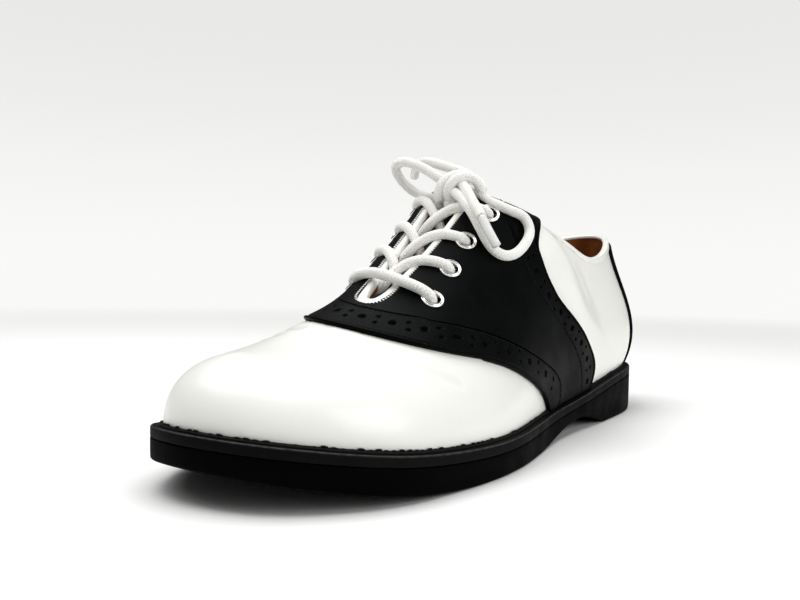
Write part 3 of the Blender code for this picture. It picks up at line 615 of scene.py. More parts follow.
def leatherFinish(name, look, fixed):
    # soil and shade are marks painted on the mesh
    made, tree, shader = startFinish(name, fixed)
    spot = addNode(tree, "TexCoord").outputs["Object"]
    grain = effect(tree, "leather grain", Vector=spot, Cells=look["cells"])
    soiled = effect(tree, "worn patches", Vector=spot, Amount=mark(tree, "soil"))["Mask"]
    specks = effect(tree, "fine specks", Vector=spot, Cells=look["speckCells"])["Mask"]
    colour = mixColour(tree, grain["Mottle"], rgb(*look["dark"]), rgb(*look["light"]))
    colour = mixColour(tree, soiled, colour, rgb(*look["soiled"]))
    colour = mixColour(tree, specks, colour, rgb(*look["speck"]))
    # painted shade: the shade mark darkens the colour towards the deep colour
    colour = mixColour(tree, mark(tree, "shade"), colour, rgb(*look["deep"]))
    tree.links.new(colour, shader["Base Color"])
    smooth, dull = look["rough"]
    gloss = sums(tree, "MULTIPLY_ADD", grain["Mottle"], dull - smooth, smooth)
    gloss = sums(tree, "MULTIPLY_ADD", soiled, leatherLook["soilRough"], gloss)
    tree.links.new(gloss, shader["Roughness"])
    addBump(tree, shader, grain["Height"], look["bump"], leatherLook["bumpDeep"])
    return made


def rubberFinish(name, look, fixed):
    made, tree, shader = startFinish(name, fixed)
    spot = addNode(tree, "TexCoord").outputs["Object"]
    # this mark lightens the rubber: wear along the outsole's bottom edge and a painted highlight
    # along the welt's top edge
    wornAndHighlit = effect(tree, "worn patches", Vector=spot, Amount=mark(tree, "wearAndHighlight"))["Mask"]
    broad = remap(tree, noise(tree, spot, rubberLook["broad"], 5.0), 0.3, 0.7)
    colour = mixColour(tree, broad, rgb(*look["dark"]), rgb(*look["light"]))
    colour = mixColour(tree, wornAndHighlit, colour, rgb(*look["wornAndHighlit"]))
    tree.links.new(colour, shader["Base Color"])
    gloss = sums(tree, "MULTIPLY_ADD", broad, rubberLook["broadRough"], look["rough"])
    tree.links.new(gloss, shader["Roughness"])
    addBump(tree, shader, noise(tree, spot, rubberLook["fine"], 4.0), look["bump"],
            rubberLook["bumpDeep"])
    return made


laceLook = {
    "thread": ((0.86, 0.85, 0.815), (0.92, 0.915, 0.89)),
    # painted shade in the grooves between the braid's strands
    "gap": (0.72, 0.705, 0.66),
    "rough": (0.80, 0.95),
}
nickelLook = {
    "bright": (0.86, 0.85, 0.83),
    "dull": (0.66, 0.65, 0.62),
    "rough": (0.16, 0.26),
}
tipLook = {
    "cloud": ((0.86, 0.86, 0.84), (0.93, 0.93, 0.915)),
    "rough": (0.12, 0.26),
}


def cottonFinish(name):
    made, tree, shader = startFinish(name, {"Sheen Weight": 0.25, "Specular IOR Level": 0.2})
    spot = addNode(tree, "UVMap", uv_map="map").outputs["UV"]
    braid = effect(tree, "round braid", Vector=spot)
    yarn = noise(tree, addNode(tree, "TexCoord").outputs["Object"], 170.0, 4.0)
    thread = mixColour(tree, yarn, *(rgb(*tone) for tone in laceLook["thread"]))
    # the braid's grooves are darkened towards the gap colour: painted shade between the strands
    colour = mixColour(tree, braid["Shade"], rgb(*laceLook["gap"]), thread)
    tree.links.new(colour, shader["Base Color"])
    tree.links.new(remap(tree, yarn, 0.2, 0.8, *laceLook["rough"]), shader["Roughness"])
    addBump(tree, shader, braid["Height"], 0.55, 0.25)
    return made


def nickelFinish(name):
    made, tree, shader = startFinish(name, {"Metallic": 1.0})
    spot = addNode(tree, "TexCoord").outputs["Object"]
    tarnish = remap(tree, noise(tree, spot, 500.0, 4.0), 0.35, 0.7)
    colour = mixColour(tree, tarnish, rgb(*nickelLook["bright"]), rgb(*nickelLook["dull"]))
    tree.links.new(colour, shader["Base Color"])
    tree.links.new(remap(tree, tarnish, 0.0, 1.0, *nickelLook["rough"]), shader["Roughness"])
    addBump(tree, shader, noise(tree, spot, 2600.0, 2.0), 0.05, 0.05)
    return made


def tipFinish(name):
    made, tree, shader = startFinish(name, {"Transmission Weight": 0.12, "IOR": 1.47,
                                            "Coat Weight": 0.6, "Coat Roughness": 0.08})
    spot = addNode(tree, "TexCoord").outputs["Object"]
    cloud = remap(tree, noise(tree, spot, 300.0, 3.0), 0.3, 0.7)
    colour = mixColour(tree, cloud, *(rgb(*tone) for tone in tipLook["cloud"]))
    tree.links.new(colour, shader["Base Color"])
    tree.links.new(remap(tree, cloud, 0.0, 1.0, *tipLook["rough"]), shader["Roughness"])
    addBump(tree, shader, cloud, 0.15, 0.1)
    return made


whiteLeather = leatherFinish("white_leather_finish", {
    "cells": 1500.0, "speckCells": 150.0, "bump": 0.012, "rough": (0.29, 0.32),
    "dark": (0.866, 0.864, 0.822), "light": (0.874, 0.872, 0.832),
    "soiled": (0.40, 0.385, 0.35), "speck": (0.30, 0.27, 0.23), "deep": (0.30, 0.285, 0.25),
}, {"Coat Weight": 0.25, "Coat Roughness": 0.15})
blackLeather = leatherFinish("black_leather_finish", {
    "cells": 1150.0, "speckCells": 90.0, "bump": 0.32, "rough": (0.36, 0.50),
    "dark": (0.0014, 0.0020, 0.0020), "light": (0.0034, 0.0040, 0.0043),
    "soiled": (0.05, 0.045, 0.04), "speck": (0.16, 0.16, 0.16),
    "deep": (0.0006, 0.0006, 0.0006),
}, {"Specular IOR Level": 0.065})
brownLining = leatherFinish("brown_lining_finish", {
    "cells": 900.0, "speckCells": 120.0, "bump": 0.25, "rough": (0.55, 0.75),
    "dark": (0.20, 0.066, 0.014), "light": (0.36, 0.145, 0.040),
    "soiled": (0.12, 0.05, 0.02), "speck": (0.10, 0.04, 0.01), "deep": (0.06, 0.02, 0.005),
}, {"Specular IOR Level": 0.3})
blackThread = leatherFinish("black_thread_finish", {
    "cells": 2600.0, "speckCells": 300.0, "bump": 0.4, "rough": (0.55, 0.70),
    "dark": (0.004, 0.004, 0.004), "light": (0.010, 0.010, 0.010),
    "soiled": (0.03, 0.03, 0.03), "speck": (0.05, 0.05, 0.05), "deep": (0.001, 0.001, 0.001),
}, {"Specular IOR Level": 0.25})
blackRubber = rubberFinish("black_rubber_finish", {
    "dark": (0.0010, 0.0010, 0.0010), "light": (0.0020, 0.0020, 0.0020),
    "wornAndHighlit": (0.04, 0.04, 0.04), "rough": 0.48, "bump": 0.22,
}, {"Specular IOR Level": 0.03})
# the welt's lighter colour along its top edge is a painted highlight
greyRubber = rubberFinish("grey_rubber_finish", {
    "dark": (0.0045, 0.0045, 0.0045), "light": (0.008, 0.008, 0.008), "wornAndHighlit": (0.10, 0.10, 0.097),
    "rough": 0.50, "bump": 0.30,
}, {"Specular IOR Level": 0.07})
nickel = nickelFinish("nickel_finish")
cotton = cottonFinish("cotton_finish")
clearTip = tipFinish("clear_tip_finish")
print("finishes done")

# Upper
upperSize = {
    "wall": 2.0,
    "edge": 0.6,
    "rows": 84,
    "columns": (130, 16, 46, 90),  # toe, throat's bend, throat's side, quarter
    "throatBend": 0.030,
    "holeCut": 3.25,
    "holeReach": 6.0,
    # foot and row of points along each crease, then depth and width
    "creases": (
        (((0.319, 0.904), (0.298, 0.711), (0.287, 0.527)), 0.30, 1.9),
        (((0.268, 0.866), (0.294, 0.791), (0.300, 0.740)), 0.22, 1.7),
        (((0.300, 0.600), (0.316, 0.480), (0.338, 0.360)), 0.24, 2.1),
        (((0.262, 0.640), (0.256, 0.540)), 0.14, 1.8),
        (((-0.312, 0.910), (-0.300, 0.730), (-0.302, 0.540)), 0.28, 1.9),
        (((-0.275, 0.860), (-0.280, 0.700)), 0.20, 1.7),
        (((-0.315, 0.560), (-0.342, 0.380)), 0.22, 2.1),
    ),
    # share of a crease's depth, then distance and width in widths of the crease
    "creaseRidge": (0.45, 1.9, 0.8),
    "creaseShade": 0.35,
    "soil": 0.6,
    "soilReach": 0.014,
    "heart": (0, 0, 40),
}
eyeletSpots = ((0.454, 0.830), (0.506, 0.868), (0.550, 0.893), (0.601, 0.885))  # foot, row


def eyeletFrame(k, side):
    foot, row = eyeletSpots[k]
    q, v = np.array(side * foot), np.array(row)
    return upperPoint(q, v), skinNormal(q, v)


def cutHoles(bm, radius):
    gone = []
    reach = upperSize["holeReach"] * mm
    for k in range(len(eyeletSpots)):
        for side in (1, -1):
            centre, axis = eyeletFrame(k, side)
            centre, axis = Vector(toFrame(centre)), Vector(axis)
            for face in bm.faces:
                off = face.calc_center_median() - centre
                deep = off.dot(axis)
                if abs(deep) < reach and (off - axis * deep).length < radius * mm:
                    gone.append(face)
    bmesh.ops.delete(bm, geom=list(set(gone)), context="FACES")


def halfColumns():
    toe, bend, side, quarter = upperSize["columns"]
    wide = upperSize["throatBend"]
    return np.concatenate([
        np.linspace(0.0, throatFoot, toe)[:-1],
        throatFoot + wide * np.linspace(0.0, 1.0, bend)[:-1] ** 2,
        np.linspace(throatFoot + wide, corner, side)[:-1],
        np.linspace(corner, 1.0, quarter),
    ])


def creaseDepth(points):
    # soft troughs with a low ridge on each side
    depth = np.zeros(len(points))
    level, aside, wide = upperSize["creaseRidge"]
    for line, deep, width in upperSize["creases"]:
        knots = np.array(line)
        t = np.linspace(0, len(knots) - 1, 40)
        q, v = (np.interp(t, np.arange(len(knots)), knots[:, k]) for k in (0, 1))
        path = upperPoint(q, v)
        away = np.min([np.linalg.norm(points - spot, axis=1) for spot in path], axis=0) / width
        depth += deep * (np.exp(-away ** 2) - level * np.exp(-((away - aside) / wide) ** 2))
    return depth


def makeUpper():
    size = upperSize

    def soil(q, v):
        return size["soil"] * np.exp(-v / size["soilReach"])

    def shade(q, v):
        return size["creaseShade"] * np.clip(creaseDepth(upperPoint(q, v)), 0, 1)

    bm = bmesh.new()
    for side in (1, -1):
        addSheet(bm, side * halfColumns(), np.linspace(0, 1, size["rows"]),
                 lambda q, v: skin(q, v, -creaseDepth(upperPoint(q, v))),
                 marks={"soil": soil, "shade": shade})
    closeUp(bm, inside=size["heart"])
    cutHoles(bm, size["holeCut"])
    piece = addPiece("upper_shell", bm, [whiteLeather, brownLining], ["upper"])
    return addWall(piece, size["wall"], inner=1, edge=size["edge"])


makeUpper()
print("upper done")

# Saddle and its punched bands
saddleLines = (  # row, front edge, front seam, rear seam, rear edge
    (0.00, 0.548, 0.585, 0.664, 0.700),
    (0.12, 0.522, 0.590, 0.658, 0.711),
    (0.25, 0.480, 0.547, 0.632, 0.680),
    (0.40, 0.433, 0.499, 0.600, 0.631),
    (0.55, 0.378, 0.463, 0.584, 0.616),
    (0.70, 0.347, 0.430, 0.592, 0.630),
    (0.85, 0.336, 0.404, 0.616, 0.655),
    (1.00, 0.333, 0.394, 0.646, 0.682),
)
frontEdge, frontSeam, rearSeam, rearEdge = (lineOf(saddleLines, k) for k in (1, 2, 3, 4))
saddleSize = {
    "high": 1.5,
    "low": 0.1,
    "groove": 0.0001,
    "medialBack": 0.018,
    "medialRows": (0.95, 0.40),  # row where the step back starts, rows that it takes
    "evenRows": 0.6,
    "rows": 60,
    "columns": (6, 14, 50, 8),  # before the throat, its bend, its side, behind the corner
    "throatBend": 0.040,
    "leastStep": 0.0006,
    "edge": 0.3,
}


def rowBelowTop(q, distance):
    v = np.linspace(1.0, 0.6, 81)
    points = upperPoint(q[:, None], v[None, :])
    steps = np.linalg.norm(np.diff(points, axis=1), axis=-1)
    run = np.cumsum(np.pad(steps, ((0, 0), (1, 0))), axis=1)
    return np.array([np.interp(distance, way, v) for way in run])


def saddleTop(q):
    front = np.interp(np.clip(q, -corner, corner), edgeFeet, saddleShare)
    return np.where(np.abs(q) <= corner, front, rowBelowTop(q, last["rim"]))


def frontLine(line, rows, side):
    start, reach = saddleSize["medialRows"]
    back = saddleSize["medialBack"] * ease((start - rows) / reach)
    return line(rows) + (back if side < 0 else 0.0)


def rowsTo(rows, limit):
    even = saddleSize["evenRows"]
    return np.minimum(rows, even) + np.maximum(rows - even, 0) / (1 - even) * (limit - even)


def makeSaddle():
    size = saddleSize
    groove = size["groove"]
    before, bent, beside, behind = size["columns"]
    ownFoot = footAt(last["throatStart"] + (last["rim"] + last["rimDeeper"]) / last["length"])
    bend = ownFoot + size["throatBend"] * np.linspace(0, 1, bent) ** 2
    tops = np.concatenate([np.linspace(frontSeam(1.0) + groove, ownFoot, before)[:-1], bend[:-1],
                           np.linspace(bend[-1], corner, beside)[:-1],
                           np.linspace(corner, rearSeam(1.0) - groove, behind)])
    bm = bmesh.new()
    for side in (1, -1):
        limit = np.where(tops < ownFoot + 1e-6, 1.0, saddleTop(side * tops))
        front = frontLine(frontSeam, limit, side) + groove
        part = (tops - front) / (rearSeam(limit) - groove - front)
        part[-1] = 1.0
        for k in range(1, len(part)):
            part[k] = max(part[k], part[k - 1] + size["leastStep"])
        part = np.minimum(part, 1.0)
        index = np.arange(len(tops))

        def place(i, r):
            i = i.astype(int)
            rows = rowsTo(r, limit[i])
            low = frontLine(frontSeam, rows, side) + groove
            feet = low + (rearSeam(rows) - groove - low) * part[i]
            return skin(side * feet, rows, size["high"])

        addSheet(bm, index, np.linspace(0, 1, size["rows"]), place)
    closeUp(bm, inside=upperSize["heart"], merge=fineMerge)
    cutHoles(bm, upperSize["holeCut"])
    piece = addPiece("saddle_panel", bm, [blackLeather], ["saddle"])
    return addWall(piece, size["high"] - size["low"], edge=size["edge"], even=False)


makeSaddle()

bandSize = {
    "across": 40,
    "underside": (0.98, 0.02, 5),  # first and last share of the width, columns
    "samples": 1200,
    "step": 0.30,
    "beadHigh": 0.30,
    "beadPlace": (0.6, 0.7),  # distance from the edge, half width
    "dip": (0.35, 1.6, 0.30),  # depth, distance from the edge, width
    "edgeDrop": (0.45, 0.25),  # depth, reach
    "seamDrop": (0.55, 0.30),
    "beadShade": (0.75, 1.5, 0.6),  # amount, distance from the edge, fade
    "holeShade": 1.3,
    "seamShade": (0.9, 0.35),
    "frontHoles": (7.3, 10.9, 0.05),  # first from the ridge, pitch, spread toward the welt
    "rearHoles": (75.4, 11.8),  # one of them, pitch
    "holeNumbers": (-13, 12, 600),
    "toSeam": (1.5, 0.5),
    "endClear": ((2.6, 2.6), (2.6, 15.0)),  # no hole this near the start and the end
    "largeHole": 1.25,
    "smallHole": 0.70,
    "pairAside": 1.9,
    "deep": 1.2,
    "holeEdge": (0.22, 0.30),  # start inside the hole's edge, width of the slope
    "edgeStitch": 1.75,
    "seamStitch": 0.9,
    "stitchPitch": 2.0,
    "stitch": (0.72, 0.17, 0.17),
}


def holeDepth(count, pitch, aside):
    # count is whole at each large hole, pitch the distance between them there
    size = bandSize
    toLarge = np.abs(count - np.rint(count)) * pitch
    toPair = np.abs(count % 1.0 - 0.5) * pitch
    start, slope = size["holeEdge"]
    depth = 0.0 * aside
    for away, across, radius in ((toLarge, aside, size["largeHole"]),
                                 (toPair, aside - size["pairAside"], size["smallHole"]),
                                 (toPair, aside + size["pairAside"], size["smallHole"])):
        reach = np.hypot(away, across)
        depth = np.maximum(depth, size["deep"] * (1 - ease((reach - radius + start) / slope)))
    return depth


def bandProfile(part, width):
    # height over the upper from the outer edge (0) to the seam (1)
    size = bandSize
    fromEdge, fromSeam = part * width, (1 - part) * width
    middle, half = size["beadPlace"]
    bead = size["beadHigh"] * np.sqrt(np.clip(1 - ((fromEdge - middle) / half) ** 2, 0, 1))
    deep, middle, wide = size["dip"]
    high = saddleSize["high"] + bead - deep * np.exp(-((fromEdge - middle) / wide) ** 2)
    for away, (drop, reach) in ((fromEdge, size["edgeDrop"]), (fromSeam, size["seamDrop"])):
        high = high - drop * np.exp(-(away / reach) ** 2)
    return high


def bandStrip(name, nodes, lines, holeLine, toSeam, endClear):
    # lines(t) gives foot values of edge and seam and the rows, for a place along the strip
    t = np.linspace(0, 1, bandSize["samples"])
    edge, seam, rows = lines(t)
    middle = upperPoint((edge + seam) / 2, rows)
    run = runOf(middle)
    cross = upperPoint(seam, rows) - upperPoint(edge, rows)
    skew = (cross * unit(np.gradient(middle, axis=0))).sum(axis=-1)
    width = np.sqrt((cross ** 2).sum(axis=-1) - skew ** 2)
    steps = int(run[-1] / bandSize["step"])
    along = np.interp(np.linspace(0, run[-1], steps), run, t)
    count = holeLine(run)
    pitch = np.gradient(run) / np.maximum(np.abs(np.gradient(count)), 1e-6)
    outer = np.linspace(0, 1, bandSize["across"])
    inner = np.linspace(*bandSize["underside"])
    parts = np.concatenate([outer, inner, outer[:1]])
    onTop = np.concatenate([np.ones(len(outer)), np.zeros(len(inner)), [1.0]])

    def holes(k, when):
        k = k.astype(int)
        part = parts[k] - 0.5
        at = np.interp(when, t, run) + part * np.interp(when, t, skew)
        aside = part * np.interp(when, t, width) - toSeam
        clear = (at > endClear[0]) & (at < run[-1] - endClear[1])
        deep = holeDepth(np.interp(at, run, count), np.interp(at, run, pitch), aside)
        return deep * onTop[k] * clear

    def place(k, when):
        deep = holes(k, when)
        k = k.astype(int)
        edge, seam, rows = lines(when)
        high = bandProfile(parts[k], np.interp(when, t, width)) - deep
        return skin(edge + (seam - edge) * parts[k], rows,
                    np.where(onTop[k] > 0, high, saddleSize["low"]))

    def shade(k, when):
        wide = np.interp(when, t, width)
        fromEdge = parts[k.astype(int)] * wide
        amount, start, fade = bandSize["beadShade"]
        bead = amount * (1 - ease((fromEdge - start) / fade))
        amount, reach = bandSize["seamShade"]
        atSeam = amount * np.exp(-((wide - fromEdge) / reach) ** 2)
        atHole = holes(k, when) / bandSize["deep"] * bandSize["holeShade"]
        return np.maximum(np.maximum(atHole, bead), atSeam).clip(0, 1)

    bm = bmesh.new()
    addSheet(bm, np.arange(len(parts)), along, place, marks={"shade": shade})
    capEnds(bm)
    closeUp(bm, merge=fineMerge)
    piece = addPiece(name, bm, [blackLeather], nodes)
    bm = bmesh.new()
    for inset in (bandSize["edgeStitch"], width - bandSize["seamStitch"]):
        feet = edge + (seam - edge) * inset / width
        high = bandProfile(inset / width, width)
        row, normals = skin(feet, rows, high), skinNormal(feet, rows)
        pick = evenPlaces(row, bandSize["stitchPitch"])
        addStitches(bm, pick(row), pick(np.gradient(row, axis=0)), pick(normals),
                    bandSize["stitch"])
    addPiece(name + "_stitches", bm, [blackThread])
    return piece


def frontLines(t):
    side = np.where(t < 0.5, 1, -1)
    rows = 1 - np.abs(1 - 2 * t)
    both = [np.where(t < 0.5, frontLine(line, rows, 1), frontLine(line, rows, -1))
            for line in (frontEdge, frontSeam)]
    return side * both[0], side * both[1], rows


def rearLines(side):
    def lines(t):
        middle = (rearSeam(1.0) + rearEdge(1.0)) / 2
        rows = rowsTo(t, saddleTop(np.array([side * middle]))[0])
        return side * rearEdge(rows), side * rearSeam(rows), rows

    return lines


def frontHoles(run):
    first, pitch, spread = bandSize["frontHoles"]
    number = np.linspace(*bandSize["holeNumbers"])
    ends = np.maximum(number, 0) ** 3 - np.maximum(-1 - number, 0) ** 3
    reach = first + pitch * number + spread * ends
    return np.interp(run[len(run) // 2] - run, reach, number)


def rearHoles(run):
    first, pitch = bandSize["rearHoles"]
    return (run - first) / pitch


frontAside, rearAside = bandSize["toSeam"]
frontClear, rearClear = bandSize["endClear"]
bandStrip("front_band", ["band_front"], frontLines, frontHoles, frontAside, frontClear)
for side, word in ((1, "lateral"), (-1, "medial")):
    bandStrip(f"rear_band_{word}", [f"band_rear_{word}"], rearLines(side), rearHoles, rearAside,
              rearClear)
print("saddle and bands done")

# White rim round the throat, with its row of beads
rimSize = {
    "side": 2.1,
    "bottom": 3.2,
    "bottomReach": 11.0,
    "samples": 160,
    "step": 0.5,
    "normalRow": 0.995,
    "outerShade": 0.2,
    "lining": (7, 11),  # first and last ring in brown
    "beadPitch": 1.25,
    "bead": (0.42, 0.62, 0.45),
    "beadHigh": 1.28,
    "beadOut": 0.06,
    # share of the width outside the edge, height
    "outside": ((-1.0, 0.1), (-1.0, 0.65), (-0.86, 1.05), (-0.55, 1.30), (-0.15, 1.32)),
    # distance inside the edge, height
    "inside": ((0.42, 1.0), (0.68, 0.35), (0.72, -0.9), (0.58, -2.0), (0.2, -2.5),
               (-0.9, -2.55), (-1.2, -2.1)),
}


def throatLine():
    # points, normals and ways into the throat, from the medial corner round to the lateral
    feet = throatFoot + (corner - throatFoot) * np.linspace(0.0, 1.0, rimSize["samples"]) ** 2
    q = np.concatenate([-feet[::-1], feet[1:]])
    raw = upperPoint(q, 1.0)
    evenly = evenPlaces(raw, rimSize["step"])
    points = evenly(raw)
    normals = unit(evenly(skinNormal(q, np.full(len(q), rimSize["normalRow"]))))
    return points, normals, unit(np.cross(normals, unit(np.gradient(points, axis=0))))


def makeRim():
    size = rimSize
    points, normals, inward = throatLine()
    run = runOf(points)
    middle = (run - run[-1] / 2) / size["bottomReach"]
    width = size["side"] + (size["bottom"] - size["side"]) * np.exp(-middle ** 2)

    def ring(aside, high):
        return points + aside[:, None] * inward + high * normals

    rings = [ring(part * width, high) for part, high in size["outside"]]
    rings += [ring(away + 0 * width, high) for away, high in size["inside"]]
    rings = np.stack(rings + rings[:1])
    first, final = size["lining"]
    bm = bmesh.new()
    addSheet(bm, np.arange(len(rings)), np.arange(len(points)), onRings(rings),
             marks={"shade": lambda k, i: np.where(k < 1.5, size["outerShade"], 0.0),
                    "inside": lambda k, i: np.where((k >= first) & (k <= final), 1.0, 0.0)})
    capEnds(bm)
    closeUp(bm)
    inside = bm.verts.layers.float["inside"]
    for face in bm.faces:
        face.material_index = int(all(v[inside] > 0.5 for v in face.verts))
    addPiece("throat_rim", bm, [whiteLeather, brownLining])
    border = ring(-width - size["beadOut"], size["beadHigh"])
    pick = evenPlaces(border, size["beadPitch"])
    bm = bmesh.new()
    addStitches(bm, pick(border), pick(np.gradient(border, axis=0)), pick(normals), size["bead"])
    addPiece("throat_beads", bm, [whiteLeather])


makeRim()

# Black cord and jagged stitches where the upper meets the welt
featherSize = {
    "cord": 0.8,
    "out": 0.35,
    "pitch": 2.7,
    "stitch": (1.25, 0.36, 0.36),
    "stitchOut": 0.60,
    "high": 0.68,
    "stagger": 0.30,
    "tilt": 0.12,
    "samples": 701,
    "sides": 8,
    "seed": 7,
}


def makeFeather():
    size = featherSize
    q = np.linspace(-1, 1, size["samples"])
    line, out = featherPoint(q), skinNormal(q, np.zeros_like(q))
    angles = np.radians(np.linspace(0, 360, size["sides"] + 1))

    def place(i, k):
        i, turn = i.astype(int), angles[k.astype(int)]
        away = size["out"] + size["cord"] * np.cos(turn)
        return line[i] + away[:, None] * out[i] + np.outer(size["cord"] * np.sin(turn), (0, 0, 1))

    bm = bmesh.new()
    addSheet(bm, np.arange(len(q)), np.arange(len(angles)), place)
    closeUp(bm, merge=0.02)
    addPiece("feather_cord", bm, [blackThread])
    border = line + size["stitchOut"] * out
    pick = evenPlaces(border, size["pitch"])
    places, ways = pick(border), unit(pick(np.gradient(border, axis=0)))
    draw = np.random.default_rng(size["seed"])
    places[:, 2] += size["high"] + size["stagger"] * draw.uniform(-1, 1, len(places))
    ways[:, 2] += size["tilt"] * draw.uniform(-1, 1, len(ways))
    bm = bmesh.new()
    addStitches(bm, places, ways, pick(out), size["stitch"])
    addPiece("feather_stitches", bm, [blackThread])


makeFeather()
print("rim and feather done")

# Heel counter and collar binding
collarSize = {
    "counterFoot": 0.903,
    "counterHigh": 1.5,
    "counterLow": 0.1,
    "counterEdge": 0.3,
    "counterGrid": (120, 56),
    "counterHeart": (0, 100, 40),
    "leg": 2.3,
    "legParts": ((1.0, 0.45), (0.75, 0.55), (0.5, 0.55), (0.25, 0.5)),  # share of the leg, height
    "foot": 0.15,
    "bulge": 0.15,
    "rollSteps": 13,
    "around": 260,
    "clear": 0.001,
    "belowTop": 0.98,
    "inLeg": 0.9,
    "inParts": (0.5, 1.0),
    "inFoot": 0.1,
    "roll": 0.9,
    "thick": 0.45,
    "footShade": 0.6,
}


def roundHeel(first, count):
    return np.linspace(first, 2 - first, count)


def makeCounter():
    size = collarSize
    columns, rows = size["counterGrid"]
    feet = roundHeel(size["counterFoot"], columns)
    limit = rowBelowTop(feet, size["leg"])

    def place(i, r):
        i = i.astype(int)
        return skin(feet[i], r * limit[i], size["counterHigh"])

    bm = bmesh.new()
    addSheet(bm, np.arange(len(feet)), np.linspace(0, 1, rows), place)
    closeUp(bm, inside=size["counterHeart"])
    piece = addPiece("heel_counter_panel", bm, [blackLeather], ["heel_counter"])
    return addWall(piece, size["counterHigh"] - size["counterLow"], edge=size["counterEdge"])


def makeBinding():
    size = collarSize
    feet = roundHeel(rearEdge(1.0) + size["clear"], size["around"])
    top = upperPoint(feet, 1.0)
    normal = skinNormal(feet, np.ones_like(feet))
    rising = unit(top - upperPoint(feet, size["belowTop"]))
    legs = [rowBelowTop(feet, size["leg"] * part) for part, high in size["legParts"]]
    wall = upperSize["wall"]
    rings = [skin(feet, legs[0], size["foot"])]
    rings += [skin(feet, leg, high) for leg, (part, high) in zip(legs, size["legParts"])]
    for angle in np.radians(np.linspace(0, 180, size["rollSteps"])):
        high = wall / 2 + size["thick"] + size["bulge"] * math.sin(angle)
        rings.append(top - wall / 2 * normal + high * math.cos(angle) * normal
                     + size["roll"] * math.sin(angle) * rising)
    inLegs = [rowBelowTop(feet, size["inLeg"] * part) for part in size["inParts"]]
    rings += [skin(feet, leg, -wall - size["thick"]) for leg in inLegs]
    rings.append(skin(feet, inLegs[1], -wall - size["inFoot"]))
    rings += [skin(feet, legs[2], -wall / 2), rings[0]]
    rings = np.stack(rings)
    bm = bmesh.new()
    addSheet(bm, np.arange(len(rings)), np.arange(len(feet)), onRings(rings),
             marks={"shade": lambda k, i: np.where(k < 0.5, size["footShade"], 0.0)})
    capEnds(bm)
    closeUp(bm)
    return addPiece("collar_roll", bm, [whiteLeather], ["collar_binding"])


makeCounter()
makeBinding()
print("counter and collar done")

# Tongue
tongueSize = {
    "thick": 3.0,
    "drop": 3.5,
    "sideDrop": 5.0,
    "deepBy": 0.045,
    "deepAcross": (0.08, 0.30),  # start from the middle, width of the slope
    "taperFoot": 0.55,
    "side": 0.75,
    "rise": 0.007,
    "endParts": (0.3, 0.55, 0.75, 0.88, 0.95),
    "ahead": 0.05,
    "grid": (70, 61),
    "edge": 0.5,
    "heart": (0, -20, 20),
}


def makeTongue():
    size = tongueSize
    columns, rows = size["grid"]
    feet = np.concatenate([np.linspace(throatFoot - size["ahead"], corner, columns),
                           corner + size["rise"] * np.array(size["endParts"])])
    end = np.clip((feet - corner) / size["rise"], 0, 1)
    edges = {side: np.interp(side * np.minimum(feet, corner), edgeFeet, edgeShare)
             for side in (1, -1)}
    taper = ease((feet - size["taperFoot"]) / (corner - size["taperFoot"]))
    start, slope = size["deepAcross"]
    deep = size["sideDrop"] * (1 - taper) * ease((feet - throatFoot) / size["deepBy"])

    def place(i, a):
        i = i.astype(int)
        side = np.where(a < 0, -1, 1)
        brink = np.where(a < 0, edges[-1][i], edges[1][i])
        low = (size["side"] + (1 - size["side"]) * taper[i]) * brink
        low = 1 - (1 - low) * np.sqrt(1 - end[i] ** 2)
        w = 1 - (1 - low) * np.abs(a)
        sink = size["drop"] + deep[i] * ease((np.abs(a) - start) / slope)
        q = side * feet[i]
        return frontForm(q, w) - sink[:, None] * formNormal(q, w)

    bm = bmesh.new()
    addSheet(bm, np.arange(len(feet)), np.linspace(-1, 1, rows), place)
    closeUp(bm, inside=size["heart"])
    piece = addPiece("tongue_leather", bm, [blackLeather, brownLining], ["tongue"])
    return addWall(piece, size["thick"], inner=1, rim=1, edge=size["edge"])


makeTongue()

# Sole
soleSize = {
    "weltThick": 3.4,
    "around": 420,
    "across": 40,
    # inset and place between the tread (0) and the welt (1)
    "outsole": ((0.12, 1.0), (0.03, 0.985), (0.0, 0.95), (0.0, 0.7), (0.0, 0.5), (0.05, 0.3),
                (0.10, 0.14), (0.25, 0.07), (0.5, 0.03), (0.9, 0.008), (1.5, 0.0)),
    "outsoleWear": (0.0, 0.0, 0.0, 0.0, 0.0, 0.0, 0.05, 0.2, 0.3, 0.3),
    # inset and depth under the top of the welt
    "welt": ((0.7, 0.0), (0.35, 0.08), (0.12, 0.3), (0.0, 0.8), (0.0, 2.9), (0.03, 3.25),
             (0.10, 3.4)),
    # painted highlight along the welt's top edge, by loop
    "weltHighlight": (0.2, 0.6, 0.45, 0.05),
    "insole": ((0.8, -2.8), (0.3, -2.6), (0.0, -2.2), (0.0, -0.3)),
}


